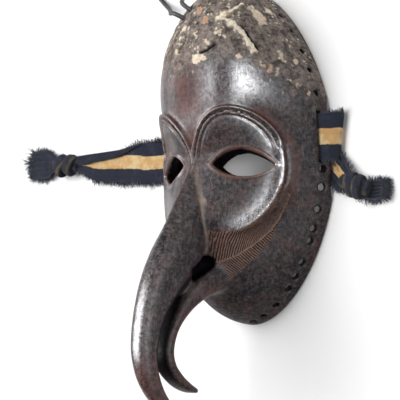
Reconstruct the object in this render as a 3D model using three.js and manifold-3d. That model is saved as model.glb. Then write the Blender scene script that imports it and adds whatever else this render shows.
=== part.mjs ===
// A carved wooden bird mask lying on its back: one hollow wooden shell with a hooked beak, a cord to
// hang it by, and a knotted cloth tie strap on each side. Millimetres, +Z up out of the face.
//
// Everything is laid out in the mask's own frame: X across the face, Y towards the crown, Z out of
// the face, with the middle of the rim at zero. The whole group is then moved so that the middle of
// the underside of the wood and the straps is at zero.
import * as THREE from 'three';
import { mergeVertices } from 'three/addons/utils/BufferGeometryUtils.js';
import Module from 'manifold-3d';

// Rim outline, lying on the table: each half of it is a superellipse
const HALF_WIDTH = 77;
const WIDEST_Y = -5;
const CROWN = { length: 126, power: 1.6, fullness: 4.6 };
const CHIN = { length: 115.5, power: 1.8, fullness: 2.2 };

// Shell: how far it stands up from the rim, its walls, and how full its profile is at the sides
const DEPTH = 68;
const FACE_WALL = 8;
const RIM_WALL = 5.5;
const SIDE_FULLNESS = 1.4;
const OUTER_MESH = { rings: 16, sectors: 56 };
const INNER_MESH = { rings: 9, sectors: 36 };

// Forehead and muzzle, which swell out of the plain dome
const FOREHEAD = { y: 52, reachX: 48, reachY: 42, height: 4 };
const MUZZLE = { y: -66, reachX: 26, reachY: 34, height: 5 };

// Eye bosses, sockets, brows and eyes; each is mirrored onto the other side
const BOSS = { x: 27, y: -16.2, halfWidth: 29.5, halfHeight: 41.9, lean: 0.08, height: 2.8, edge: 0.14 };
const SOCKET = { x: 33, y: -6, reachX: 20, reachY: 24, depth: 3.5 };
const BRIDGE = { x: 8, y: -8, reachX: 14, reachY: 20, depth: 6 };
const BROW = { from: 0.1, to: 0.93, spread: 0.97, radius: 2.1, steps: 20, sides: 6 };
const EYE = { x: 34.8, y: -10.5, halfLength: 22.5, halfHeight: 9.7, lean: 10, depth: 60 };

// Thicker wood inside the shell, behind the bridge of the nose
const NOSE_BLOCK = { y: -12, reachX: 24, reachY: 32, height: 10 };

// Beak: each station is [y, z, half width, reach above, reach below] along its guide line. The upper
// half is flat below and its base runs down into the face; the lower half is flat above.
const UPPER_BEAK = [
  [-5, 50, 5, 12, 10],
  [-30, 64, 9, 13, 18],
  [-54, 79, 12, 12, 26],
  [-78, 92.5, 12.5, 11.6, 22.5],
  [-99, 103.5, 11.5, 10.8, 16],
  [-120, 111, 10.2, 9.4, 9],
  [-140, 114.5, 9.2, 8.2, 7.2],
  [-157, 112, 8.2, 7.2, 6.2],
  [-171, 104, 6.8, 6, 5.2],
  [-181, 93, 5, 4.5, 4],
  [-186, 83, 2.4, 2, 2],
];
const LOWER_BEAK = [
  [-86, 46, 18, 10, 12.5],
  [-97, 66, 15.5, 8, 10.5],
  [-110, 79.5, 11.2, 5, 7.8],
  [-124.5, 89.5, 9, 3.2, 5.6],
  [-140, 94.5, 8.2, 3.8, 5],
  [-152, 92, 7.8, 4.2, 4.6],
  [-160.8, 83.6, 7, 4, 4.4],
  [-166.6, 73, 5.4, 3.2, 3.6],
  [-169, 63, 2.4, 1.6, 1.8],
];
const BEAK_STATIONS = 20;
const BEAK_SIDES = 12;
const ROUND_SECTION = { rise: 1, spread: 0.85 };
const FLAT_SECTION = { rise: 0.6, spread: 0.7 };

// Mouth: a blind void with rounded corners between the two halves of the beak
const MOUTH = {
  y: -83, z: 64, halfWidth: 11.5, halfHeight: 5, power: 3, lean: 28, inwards: 14, outwards: 13, corners: 16,
};

// Holes drilled round the rim, by their place round the edge: 90 degrees is the crown
const RIM_HOLE_ANGLES = [
  86, 74.7, 62, 52, 41, 32, 22.4, -5, -11.8, -20.4, -28.2, -33.4, -43.2, -50.2, -57, -67.7, -77.4, -85,
];
const RIM_HOLE = { radius: 2.3, height: 10, sides: 6, length: 30 };

// Hanging cord: it comes out of one hole beside the crown, lies on the table and goes into the other
const CORD_DIAMETER = 3.3;
const CORD_HOLE = { radius: 2.8, length: 36, sides: 8 };
const CORD_STEPS = 42;
const CORD_ROUTE = [
  [-9.8, 88.8, 44.5],
  [-13, 93.4, 53.5],
  [-16, 97.4, 61.2],
  [-20.5, 100, 63.6],
  [-27.5, 102, 59.5],
  [-36, 104, 51],
  [-46, 106.5, 40.5],
  [-57, 110, 29],
  [-68, 114, 17.5],
  [-79, 119, 8],
  [-89, 125, 2.8],
  [-96.5, 133, 1.8],
  [-99, 143, 1.8],
  [-94.5, 151.5, 1.8],
  [-86, 153, 2],
  [-76, 148, 4.4],
  [-66, 139, 10.5],
  [-56, 130, 19],
  [-46.5, 123, 28],
  [-37.5, 118, 37],
  [-29, 113.6, 46],
  [-21, 110, 55],
  [-14.5, 106.6, 61],
  [-10, 103, 60.3],
  [-7.4, 99, 53.5],
  [-4.6, 94.6, 46],
];

// Tie straps: cloth goes out through a slot in the wall, round the edge and back under a notch
const CLOTH = { thickness: 1.4, width: 34, y: 8 };
const SLOT = { halfLength: 18.5, halfHeight: 1.7, z: 11, depth: 40 };
const NOTCH = { y: 1, halfLength: 37, height: 4.4, power: 4, steps: 16 };
const LOOP = [
  [66, 11],
  [72, 11],
  [78, 9.8],
  [83, 6.8],
  [84.5, 3.6],
  [81, 1.6],
  [74, 1.4],
  [66, 1.4],
  [60, 2.4],
  [57.5, 6.2],
  [60, 9.8],
];
const LOOP_STEPS = 30;

// The tied end of each strap: [x, y, half width] of the flat part, the knot and the frayed end
const RIGHT_TIE = {
  flat: [[65, -1, 14.3], [70, -8, 12.4], [79, -17, 10], [94, -27, 7]],
  knot: { x: 98.5, y: -28.5, radiusX: 8.5, radiusY: 10.5, radiusZ: 6.5 },
  end: [[100, -30, 6], [112, -32, 7], [122, -33, 6.5]],
  thickness: 2.2,
};
const LEFT_TIE = {
  flat: [[-64, 5, 16], [-100, 4, 15], [-145, 4.5, 12], [-168, 7, 8], [-184, 9, 6]],
  knot: { x: -190, y: 9.5, radiusX: 14, radiusY: 9.5, radiusZ: 7 },
  end: [[-196, 10, 6], [-215, 12, 10], [-242, 14, 9]],
  thickness: 2.3,
};
const CLOTH_LIFT = 0.3;

// How far a cutting solid runs past the face that it cuts, and how finely a profile is measured
const CUT_MARGIN = 10;
const PROFILE_SAMPLES = 240;

const wasm = await Module();
wasm.setup();

// A closed three.js geometry as a solid that can be joined and cut.
function solidOf(geometry) {
  const bare = new THREE.BufferGeometry().setAttribute('position', geometry.getAttribute('position'));
  if (geometry.index) bare.setIndex(geometry.index);
  const merged = mergeVertices(bare, 1e-4);
  return new wasm.Manifold(
    new wasm.Mesh({
      numProp: 3,
      vertProperties: merged.attributes.position.array,
      triVerts: new Uint32Array(merged.index.array),
    }),
  );
}

// A solid back as a three.js mesh with its own material.
function meshOf(name, solid, material) {
  const { numProp, vertProperties, triVerts } = solid.getMesh();
  const positions = new Float32Array((vertProperties.length / numProp) * 3);
  for (let i = 0; i < positions.length / 3; i++) {
    positions.set(vertProperties.subarray(i * numProp, i * numProp + 3), i * 3);
  }
  const geometry = new THREE.BufferGeometry();
  geometry.setAttribute('position', new THREE.BufferAttribute(positions, 3));
  geometry.setIndex(new THREE.BufferAttribute(triVerts, 1));
  geometry.computeVertexNormals();
  const mesh = new THREE.Mesh(geometry, new THREE.MeshStandardMaterial(material));
  mesh.name = name;
  return mesh;
}

// A closed skin over rings of points, each ring with the same number, capped at both ends.
function skinOf(rings) {
  const count = rings[0].length;
  const positions = [];
  const faces = [];
  for (const ring of rings) for (const p of ring) positions.push(p.x, p.y, p.z);
  for (let j = 0; j + 1 < rings.length; j++) {
    for (let i = 0; i < count; i++) {
      const a = j * count + i;
      const b = j * count + ((i + 1) % count);
      faces.push(a, b, b + count, a, b + count, a + count);
    }
  }
  for (const [j, turned] of [[0, true], [rings.length - 1, false]]) {
    const middle = rings[j].reduce((sum, p) => sum.add(p), new THREE.Vector3()).divideScalar(count);
    const hub = positions.length / 3;
    positions.push(middle.x, middle.y, middle.z);
    for (let i = 0; i < count; i++) {
      const a = j * count + i;
      const b = j * count + ((i + 1) % count);
      faces.push(...(turned ? [b, a, hub] : [a, b, hub]));
    }
  }
  const geometry = new THREE.BufferGeometry();
  geometry.setAttribute('position', new THREE.Float32BufferAttribute(positions, 3));
  geometry.setIndex(faces);
  return solidOf(geometry);
}

// The end of the outline that a place lies towards: the crown or the chin.
function endOf(y) {
  return y > WIDEST_Y ? CROWN : CHIN;
}

// How far out a place lies, from 0 at the middle to 1 on the outline of a shell.
function shareOf(x, y, shell) {
  const end = endOf(y);
  const across = (Math.abs(x) / shell.halfWidth) ** end.power;
  const along = (Math.abs(y - WIDEST_Y) / (end.length - shell.wall)) ** end.power;
  return (across + along) ** (1 / end.power);
}

// How boxy the dome's profile is towards a place on its plan: 2 would be an ellipse.
function fullnessOf(x, y) {
  const end = endOf(y);
  const turn = Math.atan2(Math.abs(y - WIDEST_Y) / end.length, Math.abs(x) / HALF_WIDTH);
  return THREE.MathUtils.lerp(SIDE_FULLNESS, end.fullness, Math.sin(turn) ** 2);
}

// A soft swelling on the middle line.
function swelling(x, y, { y: middle, reachX, reachY, height }) {
  return height * Math.exp(-((x / reachX) ** 2) - ((y - middle) / reachY) ** 2);
}

// How far the carving stands out from the plain dome, over a place on its plan.
function carving(x, y) {
  const aside = Math.abs(x);
  const middle = BOSS.x + BOSS.lean * (y - BOSS.y);
  const boss = Math.hypot((aside - middle) / BOSS.halfWidth, (y - BOSS.y) / BOSS.halfHeight);
  let height = BOSS.height * (1 - THREE.MathUtils.smoothstep(boss, 1 - BOSS.edge, 1 + BOSS.edge));
  for (const dip of [SOCKET, BRIDGE]) {
    height -= dip.depth * Math.exp(-(((aside - dip.x) / dip.reachX) ** 2) - ((y - dip.y) / dip.reachY) ** 2);
  }
  return height + swelling(x, y, FOREHEAD) + swelling(x, y, MUZZLE);
}

const OUTSIDE = { halfWidth: HALF_WIDTH, wall: 0, depth: DEPTH, relief: carving };
const INSIDE = {
  halfWidth: HALF_WIDTH - RIM_WALL,
  wall: RIM_WALL,
  depth: DEPTH - FACE_WALL,
  relief: (x, y) => -swelling(x, y, NOSE_BLOCK),
};

// The point of a shell over a place on its plan.
function shellPoint(x, y, shell) {
  const full = fullnessOf(x, y);
  const height = shell.depth * Math.max(0, 1 - shareOf(x, y, shell) ** full) ** (1 / full);
  const p = new THREE.Vector3(x, y - WIDEST_Y, height);
  if (height > 0) p.setLength(p.length() + shell.relief(x, y));
  p.y += WIDEST_Y;
  return p;
}

// A shell as rings from near its top down to the rim, evenly spaced along its surface.
function shellRings(shell, { rings, sectors }) {
  const made = Array.from({ length: rings }, () => []);
  for (let i = 0; i < sectors; i++) {
    const turn = (2 * Math.PI * i) / sectors;
    const end = Math.sin(turn) > 0 ? CROWN : CHIN;
    const reach = end.length - shell.wall;
    const out = new THREE.Vector2(Math.cos(turn) * shell.halfWidth, Math.sin(turn) * reach);
    out.divideScalar(shareOf(out.x, out.y + WIDEST_Y, shell));
    const profile = [];
    for (let k = 0; k <= PROFILE_SAMPLES; k++) {
      const part = Math.sin(((k / PROFILE_SAMPLES) * Math.PI) / 2) ** 0.8;
      profile.push(shellPoint(out.x * part, out.y * part + WIDEST_Y, shell));
    }
    profile[PROFILE_SAMPLES].set(out.x, out.y + WIDEST_Y, 0);
    const lengths = profile.map((p, k) => (k ? p.distanceTo(profile[k - 1]) : 0));
    const total = lengths.reduce((sum, l) => sum + l, 0);
    let k = 0;
    let run = 0;
    for (let j = 1; j < rings; j++) {
      const wanted = (total * j) / rings;
      while (run + lengths[k + 1] < wanted) run += lengths[++k];
      made[j - 1].push(profile[k].clone().lerp(profile[k + 1], (wanted - run) / lengths[k + 1]));
    }
    made[rings - 1].push(profile[PROFILE_SAMPLES]);
  }
  return made.reverse();
}

// The hollow runs on below the rim, so that it cuts the underside open.
function hollowSolid() {
  const rings = shellRings(INSIDE, INNER_MESH);
  const below = rings[0].map((p) => new THREE.Vector3(p.x, p.y, -CUT_MARGIN));
  return skinOf([below, ...rings]);
}

// One half of the beak, lofted along its guide line, with a round side and a flatter one.
function beakSolid(stations, flatSide) {
  const line = new THREE.CatmullRomCurve3(stations.map(([y, z]) => new THREE.Vector3(0, y, z)));
  const sizes = new THREE.CatmullRomCurve3(stations.map((station) => new THREE.Vector3(...station.slice(2))));
  const rings = [];
  for (let j = 0; j <= BEAK_STATIONS; j++) {
    const at = j / BEAK_STATIONS;
    const middle = line.getPoint(at);
    const ahead = line.getTangent(at);
    const outward = new THREE.Vector3(0, ahead.z, -ahead.y);
    const { x: halfWidth, y: above, z: below } = sizes.getPoint(at);
    const ring = [];
    for (let i = 0; i < BEAK_SIDES; i++) {
      const turn = (2 * Math.PI * (i + 0.5)) / BEAK_SIDES;
      const side = Math.sign(Math.sin(turn));
      const { rise, spread } = side === flatSide ? FLAT_SECTION : ROUND_SECTION;
      const reach = side * (side > 0 ? above : below) * Math.abs(Math.sin(turn)) ** rise;
      const across = Math.sign(Math.cos(turn)) * Math.abs(Math.cos(turn)) ** spread;
      ring.push(middle.clone().addScaledVector(outward, reach).setX(across * halfWidth));
    }
    rings.push(ring);
  }
  return skinOf(rings);
}

// A round bar along a route.
function barSolid(points, radius, steps, sides) {
  const section = new THREE.Shape().absarc(0, 0, radius, 0, 2 * Math.PI);
  const extrudePath = new THREE.CatmullRomCurve3(points);
  const options = { steps, curveSegments: sides / 2, bevelEnabled: false, extrudePath };
  return solidOf(new THREE.ExtrudeGeometry(section, options));
}

// A brow ridge: a rounded strip laid along the upper edge of the eye boss.
function browSolid(side) {
  const points = [];
  for (let i = 0; i <= BROW.steps; i++) {
    const turn = Math.PI * THREE.MathUtils.lerp(BROW.from, BROW.to, i / BROW.steps);
    const y = BOSS.y + BROW.spread * BOSS.halfHeight * Math.sin(turn);
    const x = BOSS.x + BOSS.lean * (y - BOSS.y) + BROW.spread * BOSS.halfWidth * Math.cos(turn);
    points.push(shellPoint(side * x, y, OUTSIDE));
  }
  return barSolid(points, BROW.radius, BROW.steps, BROW.sides);
}

// A lens-shaped prism through the origin along Z.
function lensPrism(halfLength, halfHeight, depth) {
  const radius = (halfLength ** 2 + halfHeight ** 2) / (2 * halfHeight);
  const half = Math.asin(halfLength / radius);
  const drop = radius - halfHeight;
  const lens = new THREE.Shape();
  lens.absarc(0, -drop, radius, Math.PI / 2 - half, Math.PI / 2 + half);
  lens.absarc(0, drop, radius, (3 * Math.PI) / 2 - half, (3 * Math.PI) / 2 + half);
  const prism = new THREE.ExtrudeGeometry(lens, { depth, curveSegments: 10, bevelEnabled: false });
  return prism.translate(0, 0, -depth / 2);
}

function eyeCut(side) {
  const middle = shellPoint(side * EYE.x, EYE.y, OUTSIDE);
  const prism = lensPrism(EYE.halfLength, EYE.halfHeight, EYE.depth);
  prism.rotateY(side * THREE.MathUtils.degToRad(EYE.lean)).translate(middle.x, middle.y, middle.z);
  return solidOf(prism);
}

function mouthCut() {
  const outline = Array.from({ length: MOUTH.corners }, (_, i) => {
    const turn = (2 * Math.PI * (i + 0.5)) / MOUTH.corners;
    const [across, up] = [Math.cos(turn), Math.sin(turn)].map((p) => Math.sign(p) * Math.abs(p) ** (2 / MOUTH.power));
    return new THREE.Vector2(MOUTH.halfWidth * across, MOUTH.halfHeight * up);
  });
  const depth = MOUTH.inwards + MOUTH.outwards;
  const prism = new THREE.ExtrudeGeometry(new THREE.Shape(outline), { depth, bevelEnabled: false });
  prism.translate(0, 0, -MOUTH.inwards).rotateX(THREE.MathUtils.degToRad(MOUTH.lean));
  return solidOf(prism.translate(0, MOUTH.y, MOUTH.z));
}

// The shallow notches under both sides of the rim, where the straps pass, as one long wedge.
function notchCut() {
  const profile = new THREE.Shape().moveTo(-NOTCH.halfLength, -CUT_MARGIN);
  for (let i = 0; i <= NOTCH.steps; i++) {
    const share = (2 * i) / NOTCH.steps - 1;
    profile.lineTo(share * NOTCH.halfLength, NOTCH.height * (1 - share ** NOTCH.power) - 0.001);
  }
  profile.lineTo(NOTCH.halfLength, -CUT_MARGIN);
  const wedge = new THREE.ExtrudeGeometry(profile, { depth: 4 * HALF_WIDTH, bevelEnabled: false });
  wedge.translate(NOTCH.y, 0, -2 * HALF_WIDTH).rotateX(Math.PI / 2).rotateZ(Math.PI / 2);
  return solidOf(wedge);
}

// The point of the plain dome at a height, on one side of it.
function domePointAt(out, height) {
  const full = fullnessOf(out.x, out.y + WIDEST_Y);
  const part = (1 - (height / DEPTH) ** full) ** (1 / full) / shareOf(out.x, out.y + WIDEST_Y, OUTSIDE);
  return new THREE.Vector3(out.x * part, out.y * part + WIDEST_Y, height);
}

// A round drill centred on a place, with its length along an axis.
function drillSolid({ radius, length, sides }, middle, axis) {
  const turn = new THREE.Quaternion().setFromUnitVectors(new THREE.Vector3(0, 1, 0), axis);
  const drill = new THREE.CylinderGeometry(radius, radius, length, sides).applyQuaternion(turn);
  return solidOf(drill.translate(middle.x, middle.y, middle.z));
}

// A round hole through the wall beside the rim, square to the surface there.
function rimHole(angleDegrees) {
  const angle = THREE.MathUtils.degToRad(angleDegrees);
  const end = Math.sin(angle) > 0 ? CROWN : CHIN;
  const out = new THREE.Vector2(Math.cos(angle) * HALF_WIDTH, Math.sin(angle) * end.length);
  const low = domePointAt(out, RIM_HOLE.height - 2);
  const high = domePointAt(out, RIM_HOLE.height + 2);
  const up = high.clone().sub(low).normalize();
  const level = new THREE.Vector3(out.x / HALF_WIDTH ** 2, out.y / end.length ** 2, 0);
  const axis = level.addScaledVector(up, -level.dot(up)).normalize();
  return drillSolid(RIM_HOLE, low.lerp(high, 0.5), axis);
}

// The hole that an end of the cord goes into.
function cordHole(end, next) {
  const outside = new THREE.Vector3(...next);
  return drillSolid(CORD_HOLE, outside, outside.clone().sub(new THREE.Vector3(...end)).normalize());
}

function slotCut(side) {
  const slot = new THREE.BoxGeometry(SLOT.depth, 2 * SLOT.halfLength, 2 * SLOT.halfHeight);
  return solidOf(slot.translate(side * HALF_WIDTH, CLOTH.y, SLOT.z));
}

function maskSolid() {
  let wood = skinOf(shellRings(OUTSIDE, OUTER_MESH));
  wood = wood.add(beakSolid(UPPER_BEAK, -1)).add(beakSolid(LOWER_BEAK, 1));
  for (const side of [-1, 1]) wood = wood.add(browSolid(side));
  wood = wood.subtract(hollowSolid()).subtract(mouthCut()).subtract(notchCut());
  for (const side of [-1, 1]) wood = wood.subtract(eyeCut(side)).subtract(slotCut(side));
  for (const angle of RIM_HOLE_ANGLES) {
    wood = wood.subtract(rimHole(angle)).subtract(rimHole(180 - angle));
  }
  wood = wood.subtract(cordHole(CORD_ROUTE.at(0), CORD_ROUTE.at(1)));
  return wood.subtract(cordHole(CORD_ROUTE.at(-1), CORD_ROUTE.at(-2)));
}

function cordSolid() {
  const points = CORD_ROUTE.map((p) => new THREE.Vector3(...p));
  return barSolid(points, CORD_DIAMETER / 2, CORD_STEPS, 6);
}

// The cloth loop through the slot and round the edge: a closed band with a rectangular section.
function loopSolid(side) {
  const route = new THREE.CatmullRomCurve3(
    LOOP.map(([x, z]) => new THREE.Vector3(side * x, 0, z)),
    true,
  );
  const halfThick = CLOTH.thickness / 2;
  const halfWide = CLOTH.width / 2;
  const positions = [];
  const faces = [];
  for (let j = 0; j < LOOP_STEPS; j++) {
    const p = route.getPoint(j / LOOP_STEPS);
    const ahead = route.getTangent(j / LOOP_STEPS);
    for (const [thick, wide] of [[1, 1], [-1, 1], [-1, -1], [1, -1]]) {
      const offset = thick * halfThick;
      positions.push(p.x - offset * ahead.z, CLOTH.y + wide * halfWide, p.z + offset * ahead.x);
    }
    for (let i = 0; i < 4; i++) {
      const next = (i + 1) % 4;
      const after = (j + 1) % LOOP_STEPS;
      const [a, b] = [j * 4 + i, j * 4 + next];
      const [c, d] = [after * 4 + next, after * 4 + i];
      faces.push(a, c, b, a, d, c);
    }
  }
  const geometry = new THREE.BufferGeometry();
  geometry.setAttribute('position', new THREE.Float32BufferAttribute(positions, 3));
  geometry.setIndex(faces);
  return solidOf(geometry);
}

// A flat stretch of cloth on the table, from its middle line and half widths.
function flatSolid(stations, thickness) {
  const edge = (sign) => stations.map(([x, y, half]) => new THREE.Vector2(x, y + sign * half));
  const outline = new THREE.Shape([...edge(1), ...edge(-1).reverse()]);
  const cloth = new THREE.ExtrudeGeometry(outline, { depth: thickness, bevelEnabled: false });
  return solidOf(cloth.translate(0, 0, CLOTH_LIFT));
}

function strapSolid(side, tie) {
  const { x, y, radiusX, radiusY, radiusZ } = tie.knot;
  const knot = new THREE.SphereGeometry(1, 12, 8).rotateX(Math.PI / 2).scale(radiusX, radiusY, radiusZ);
  const tied = solidOf(knot.translate(x, y, radiusZ + CLOTH_LIFT));
  const flat = flatSolid(tie.flat, tie.thickness).add(flatSolid(tie.end, 2 * tie.thickness));
  return loopSolid(side).add(flat).add(tied);
}

const CLOTH_LOOK = { color: 0x2b3348, roughness: 0.95, metalness: 0 };
const mask = meshOf('mask', maskSolid(), { color: 0x2e2622, roughness: 0.45, metalness: 0 });
const rightStrap = meshOf('right_strap', strapSolid(1, RIGHT_TIE), CLOTH_LOOK);
const leftStrap = meshOf('left_strap', strapSolid(-1, LEFT_TIE), CLOTH_LOOK);
const cord = meshOf('hanging_cord', cordSolid(), { color: 0x2c3038, roughness: 0.6, metalness: 0 });

const group = new THREE.Group();
group.add(mask, rightStrap, leftStrap);
const middle = new THREE.Box3().setFromObject(group).getCenter(new THREE.Vector3());
group.add(cord);
group.position.set(-middle.x, -middle.y, 0);

export default group;
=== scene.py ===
"""A carved wooden bird mask with a hooked beak, cloth ties and a hanging cord, lying on a pale floor."""
import math

import bmesh
import bpy
import numpy as np
from mathutils import Matrix, Vector


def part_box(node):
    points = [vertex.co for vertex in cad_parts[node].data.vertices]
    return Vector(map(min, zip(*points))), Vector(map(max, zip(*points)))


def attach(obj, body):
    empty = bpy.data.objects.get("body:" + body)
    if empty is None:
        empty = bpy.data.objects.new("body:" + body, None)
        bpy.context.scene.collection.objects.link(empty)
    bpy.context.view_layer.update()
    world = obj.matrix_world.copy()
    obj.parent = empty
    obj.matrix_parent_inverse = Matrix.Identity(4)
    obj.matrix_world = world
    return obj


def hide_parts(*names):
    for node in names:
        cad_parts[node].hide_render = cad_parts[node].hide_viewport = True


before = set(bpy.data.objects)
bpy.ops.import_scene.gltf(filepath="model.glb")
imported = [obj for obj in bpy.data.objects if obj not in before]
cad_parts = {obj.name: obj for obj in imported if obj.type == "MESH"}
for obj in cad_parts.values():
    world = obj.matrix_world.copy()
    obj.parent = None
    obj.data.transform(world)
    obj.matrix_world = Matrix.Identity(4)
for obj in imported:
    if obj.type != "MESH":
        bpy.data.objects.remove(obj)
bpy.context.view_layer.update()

# Sizes are millimetres in the mask's own frame: X across, Y to the crown, Z out of the face
MM = 0.001
HALF_WIDTH = 77
WIDEST_Y = -5
CROWN = {"length": 126, "power": 1.6, "fullness": 4.6}
CHIN = {"length": 115.5, "power": 1.8, "fullness": 2.2}
DEPTH = 68
FACE_WALL = 8
RIM_WALL = 5.5
SIDE_FULLNESS = 1.4

FOREHEAD = {"y": 52, "reach": (48, 42), "height": 4}
MUZZLE = {"y": -66, "reach": (26, 34), "height": 5}
BOSS = {"x": 27, "y": -16.2, "half_width": 29.5, "half_height": 41.9, "lean": 0.08, "height": 2.8}
SOCKET = {"x": 33, "y": -6, "reach": (20, 24), "depth": 3.5}
BRIDGE = {"x": 8, "y": -8, "reach": (14, 20), "depth": 6}
EYE = {"x": 34.8, "y": -10.5, "half_length": 22.5, "half_height": 9.7, "lean": 10, "depth": 30}
# The eye holes narrow inwards, and run a little down towards the chin
EYE_INWARDS = {"taper": 0.2, "fall": 0.24}
# The wood is thicker behind the bridge of the nose
NOSE_BLOCK = {"y": -12, "reach": (24, 32), "height": 10}
MOUTH = {
    "y": -83, "z": 64, "half_width": 11.5, "half_height": 5, "power": 3, "lean": 28,
    "inwards": 14, "outwards": 13,
}

# Beak stations: y, z, half width, reach above and reach below the guide line
UPPER_BEAK = [
    (-5, 50, 5, 12, 10),
    (-30, 64, 9, 13, 18),
    (-54, 79, 12, 12, 26),
    (-78, 92.5, 12.5, 11.6, 22.5),
    (-99, 103.5, 11.5, 10.8, 16),
    (-120, 111, 10.2, 9.4, 9),
    (-140, 114.5, 9.2, 8.2, 7.2),
    (-157, 112, 8.2, 7.2, 6.2),
    (-171, 104, 6.8, 6, 5.2),
    (-181, 93, 5, 4.5, 4),
    (-186, 83, 2.4, 2, 2),
]
LOWER_BEAK = [
    (-86, 46, 18, 10, 12.5),
    (-97, 66, 15.5, 8, 10.5),
    (-110, 79.5, 11.2, 5, 7.8),
    (-124.5, 89.5, 9, 3.2, 5.6),
    (-140, 94.5, 8.2, 3.8, 5),
    (-152, 92, 7.8, 4.2, 4.6),
    (-160.8, 83.6, 7, 4, 4.4),
    (-166.6, 73, 5.4, 3.2, 3.6),
    (-169, 63, 2.4, 1.6, 1.8),
]

RIM_HOLE_ANGLES = [
    86, 74.7, 62, 52, 41, 32, 22.4, -5, -11.8, -20.4, -28.2, -33.4, -43.2, -50.2, -57, -67.7, -77.4, -85,
]
RIM_HOLE = {"radius": 2.6, "height": 10, "reach": 15}
SLOT = {"y": 8, "z": 11, "half_length": 18.5, "half_height": 1.7, "inner_x": 57}
NOTCH = {"y": 1, "half_length": 37, "height": 4.4, "power": 4}

CORD_DIAMETER = 3.3
CORD_HOLE_RADIUS = 2.8
CORD_ROUTE = [
    (-9.8, 88.8, 44.5), (-13, 93.4, 53.5), (-16, 97.4, 61.2), (-20.5, 100, 63.6), (-27.5, 102, 59.5),
    (-36, 104, 51), (-46, 106.5, 40.5), (-57, 110, 29), (-68, 114, 17.5), (-79, 119, 8),
    (-89, 125, 2.8), (-96.5, 133, 1.8), (-99, 143, 1.8), (-94.5, 151.5, 1.8), (-86, 153, 2),
    (-76, 148, 4.4), (-66, 139, 10.5), (-56, 130, 19), (-46.5, 123, 28), (-37.5, 118, 37),
    (-29, 113.6, 46), (-21, 110, 55), (-14.5, 106.6, 61), (-10, 103, 60.3), (-7.4, 99, 53.5),
    (-4.6, 94.6, 46),
]

# The crown's tip, swollen with the forehead, gives the mask's own frame a place in the whole object's
mask_low, mask_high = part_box("mask")
CROWN_TIP = 121.27
ORIGIN = np.array([(mask_low.x + mask_high.x) / 2 / MM, mask_high.y / MM - CROWN_TIP, 0])


def in_metres(points):
    return (np.asarray(points, float) + ORIGIN) * MM


# Camera: looking down on the mask from its left, from far enough away to flatten it
CAMERA = {"azimuth": 43, "tilt": 6, "distance": 1600, "aside": -39.9, "up": -30.4, "field": 289.9}
SENSOR = 36


def view_axes():
    """The directions to the camera's right, up and back, in the mask's frame."""
    turn, tilt = math.radians(CAMERA["azimuth"]), math.radians(CAMERA["tilt"])
    right = np.array([math.cos(turn), 0, -math.sin(turn)])
    level = np.array([math.sin(turn), 0, math.cos(turn)])
    crown = np.array([0, 1, 0])
    up = math.cos(tilt) * crown + math.sin(tilt) * level
    return right, up, math.cos(tilt) * level - math.sin(tilt) * crown


def make_camera():
    right, up, back = view_axes()
    target = CAMERA["aside"] * right + CAMERA["up"] * up
    data = bpy.data.cameras.new("camera")
    data.sensor_width = SENSOR
    data.lens = SENSOR * CAMERA["distance"] / CAMERA["field"]
    data.clip_start, data.clip_end = 0.05, 20
    camera = new_object("camera", data)
    camera.matrix_world = Matrix(np.column_stack([right, up, back]).tolist()).to_4x4()
    camera.location = Vector(in_metres(target + CAMERA["distance"] * back))
    bpy.context.scene.camera = camera


# Random numbers on a lattice, for noise that is the same on every run
NOISE_SIZE = 65536
NOISE_TABLE = np.random.default_rng(7).random(NOISE_SIZE)
NOISE_PRIMES = (73856093, 19349663, 83492791)


def noise(points, size, seed=0):
    """Smooth noise from 0 to 1 with features of about this size."""
    q = points / size + seed * 17.13
    cell = np.floor(q).astype(np.int64)
    f = q - cell
    f = f * f * (3 - 2 * f)
    total = np.zeros(len(points))
    for corner in np.ndindex(2, 2, 2):
        place = (cell + corner) * NOISE_PRIMES
        picked = NOISE_TABLE[(place[:, 0] ^ place[:, 1] ^ place[:, 2]) % NOISE_SIZE]
        total += picked * np.where(corner, f, 1 - f).prod(1)
    return total


def rough_noise(points, size, octaves=4, seed=0):
    weights = 0.5 ** np.arange(octaves)
    layers = [w * noise(points, size * w, seed + k) for k, w in enumerate(weights)]
    return sum(layers) / weights.sum()


def smoothstep(value, low, high):
    t = np.clip((value - low) / (high - low), 0, 1)
    return t * t * (3 - 2 * t)


def smooth_min(a, b, blend):
    share = np.clip(0.5 + 0.5 * (b - a) / blend, 0, 1)
    return b + (a - b) * share - blend * share * (1 - share)


def smooth_max(a, b, blend):
    return -smooth_min(-a, -b, blend)


def bump(distance, width):
    return np.exp(-((distance / width) ** 2))


# The plain dome
def towards_end(along, name):
    """The crown's or the chin's own number, by which of them each place lies towards."""
    return np.where(along > 0, CROWN[name], CHIN[name])


def fullness(x, along):
    """The power of the dome's profile: low at its sides, and higher towards the crown and the chin."""
    rise = (np.abs(along) / towards_end(along, "length")) ** 2
    turn = rise / np.maximum(rise + (x / HALF_WIDTH) ** 2, 1e-9)
    return SIDE_FULLNESS + (towards_end(along, "fullness") - SIDE_FULLNESS) * turn


def dome_gauge(x, y, z, trim, depth):
    """How far out a place lies in the plain dome: 1 on its surface."""
    along = y - WIDEST_Y
    power = towards_end(along, "power")
    length = towards_end(along, "length") - trim
    share = ((np.abs(x) / (HALF_WIDTH - trim)) ** power + (np.abs(along) / length) ** power) ** (1 / power)
    full = fullness(x, along)
    return np.maximum(((z / depth) ** full + share**full) ** (1 / full), 1e-3)


def swelling(x, y, form):
    across, along = form["reach"]
    return form["height"] * np.exp(-((x / across) ** 2) - ((y - form["y"]) / along) ** 2)


# The boss's step, as shares of its half sizes: where it lies, and how wide it is at the side, top and foot
BOSS_OUTLINE = 1.02
BOSS_EDGE = {"side": 0.045, "top": 0.14, "foot": 0.3}
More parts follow.
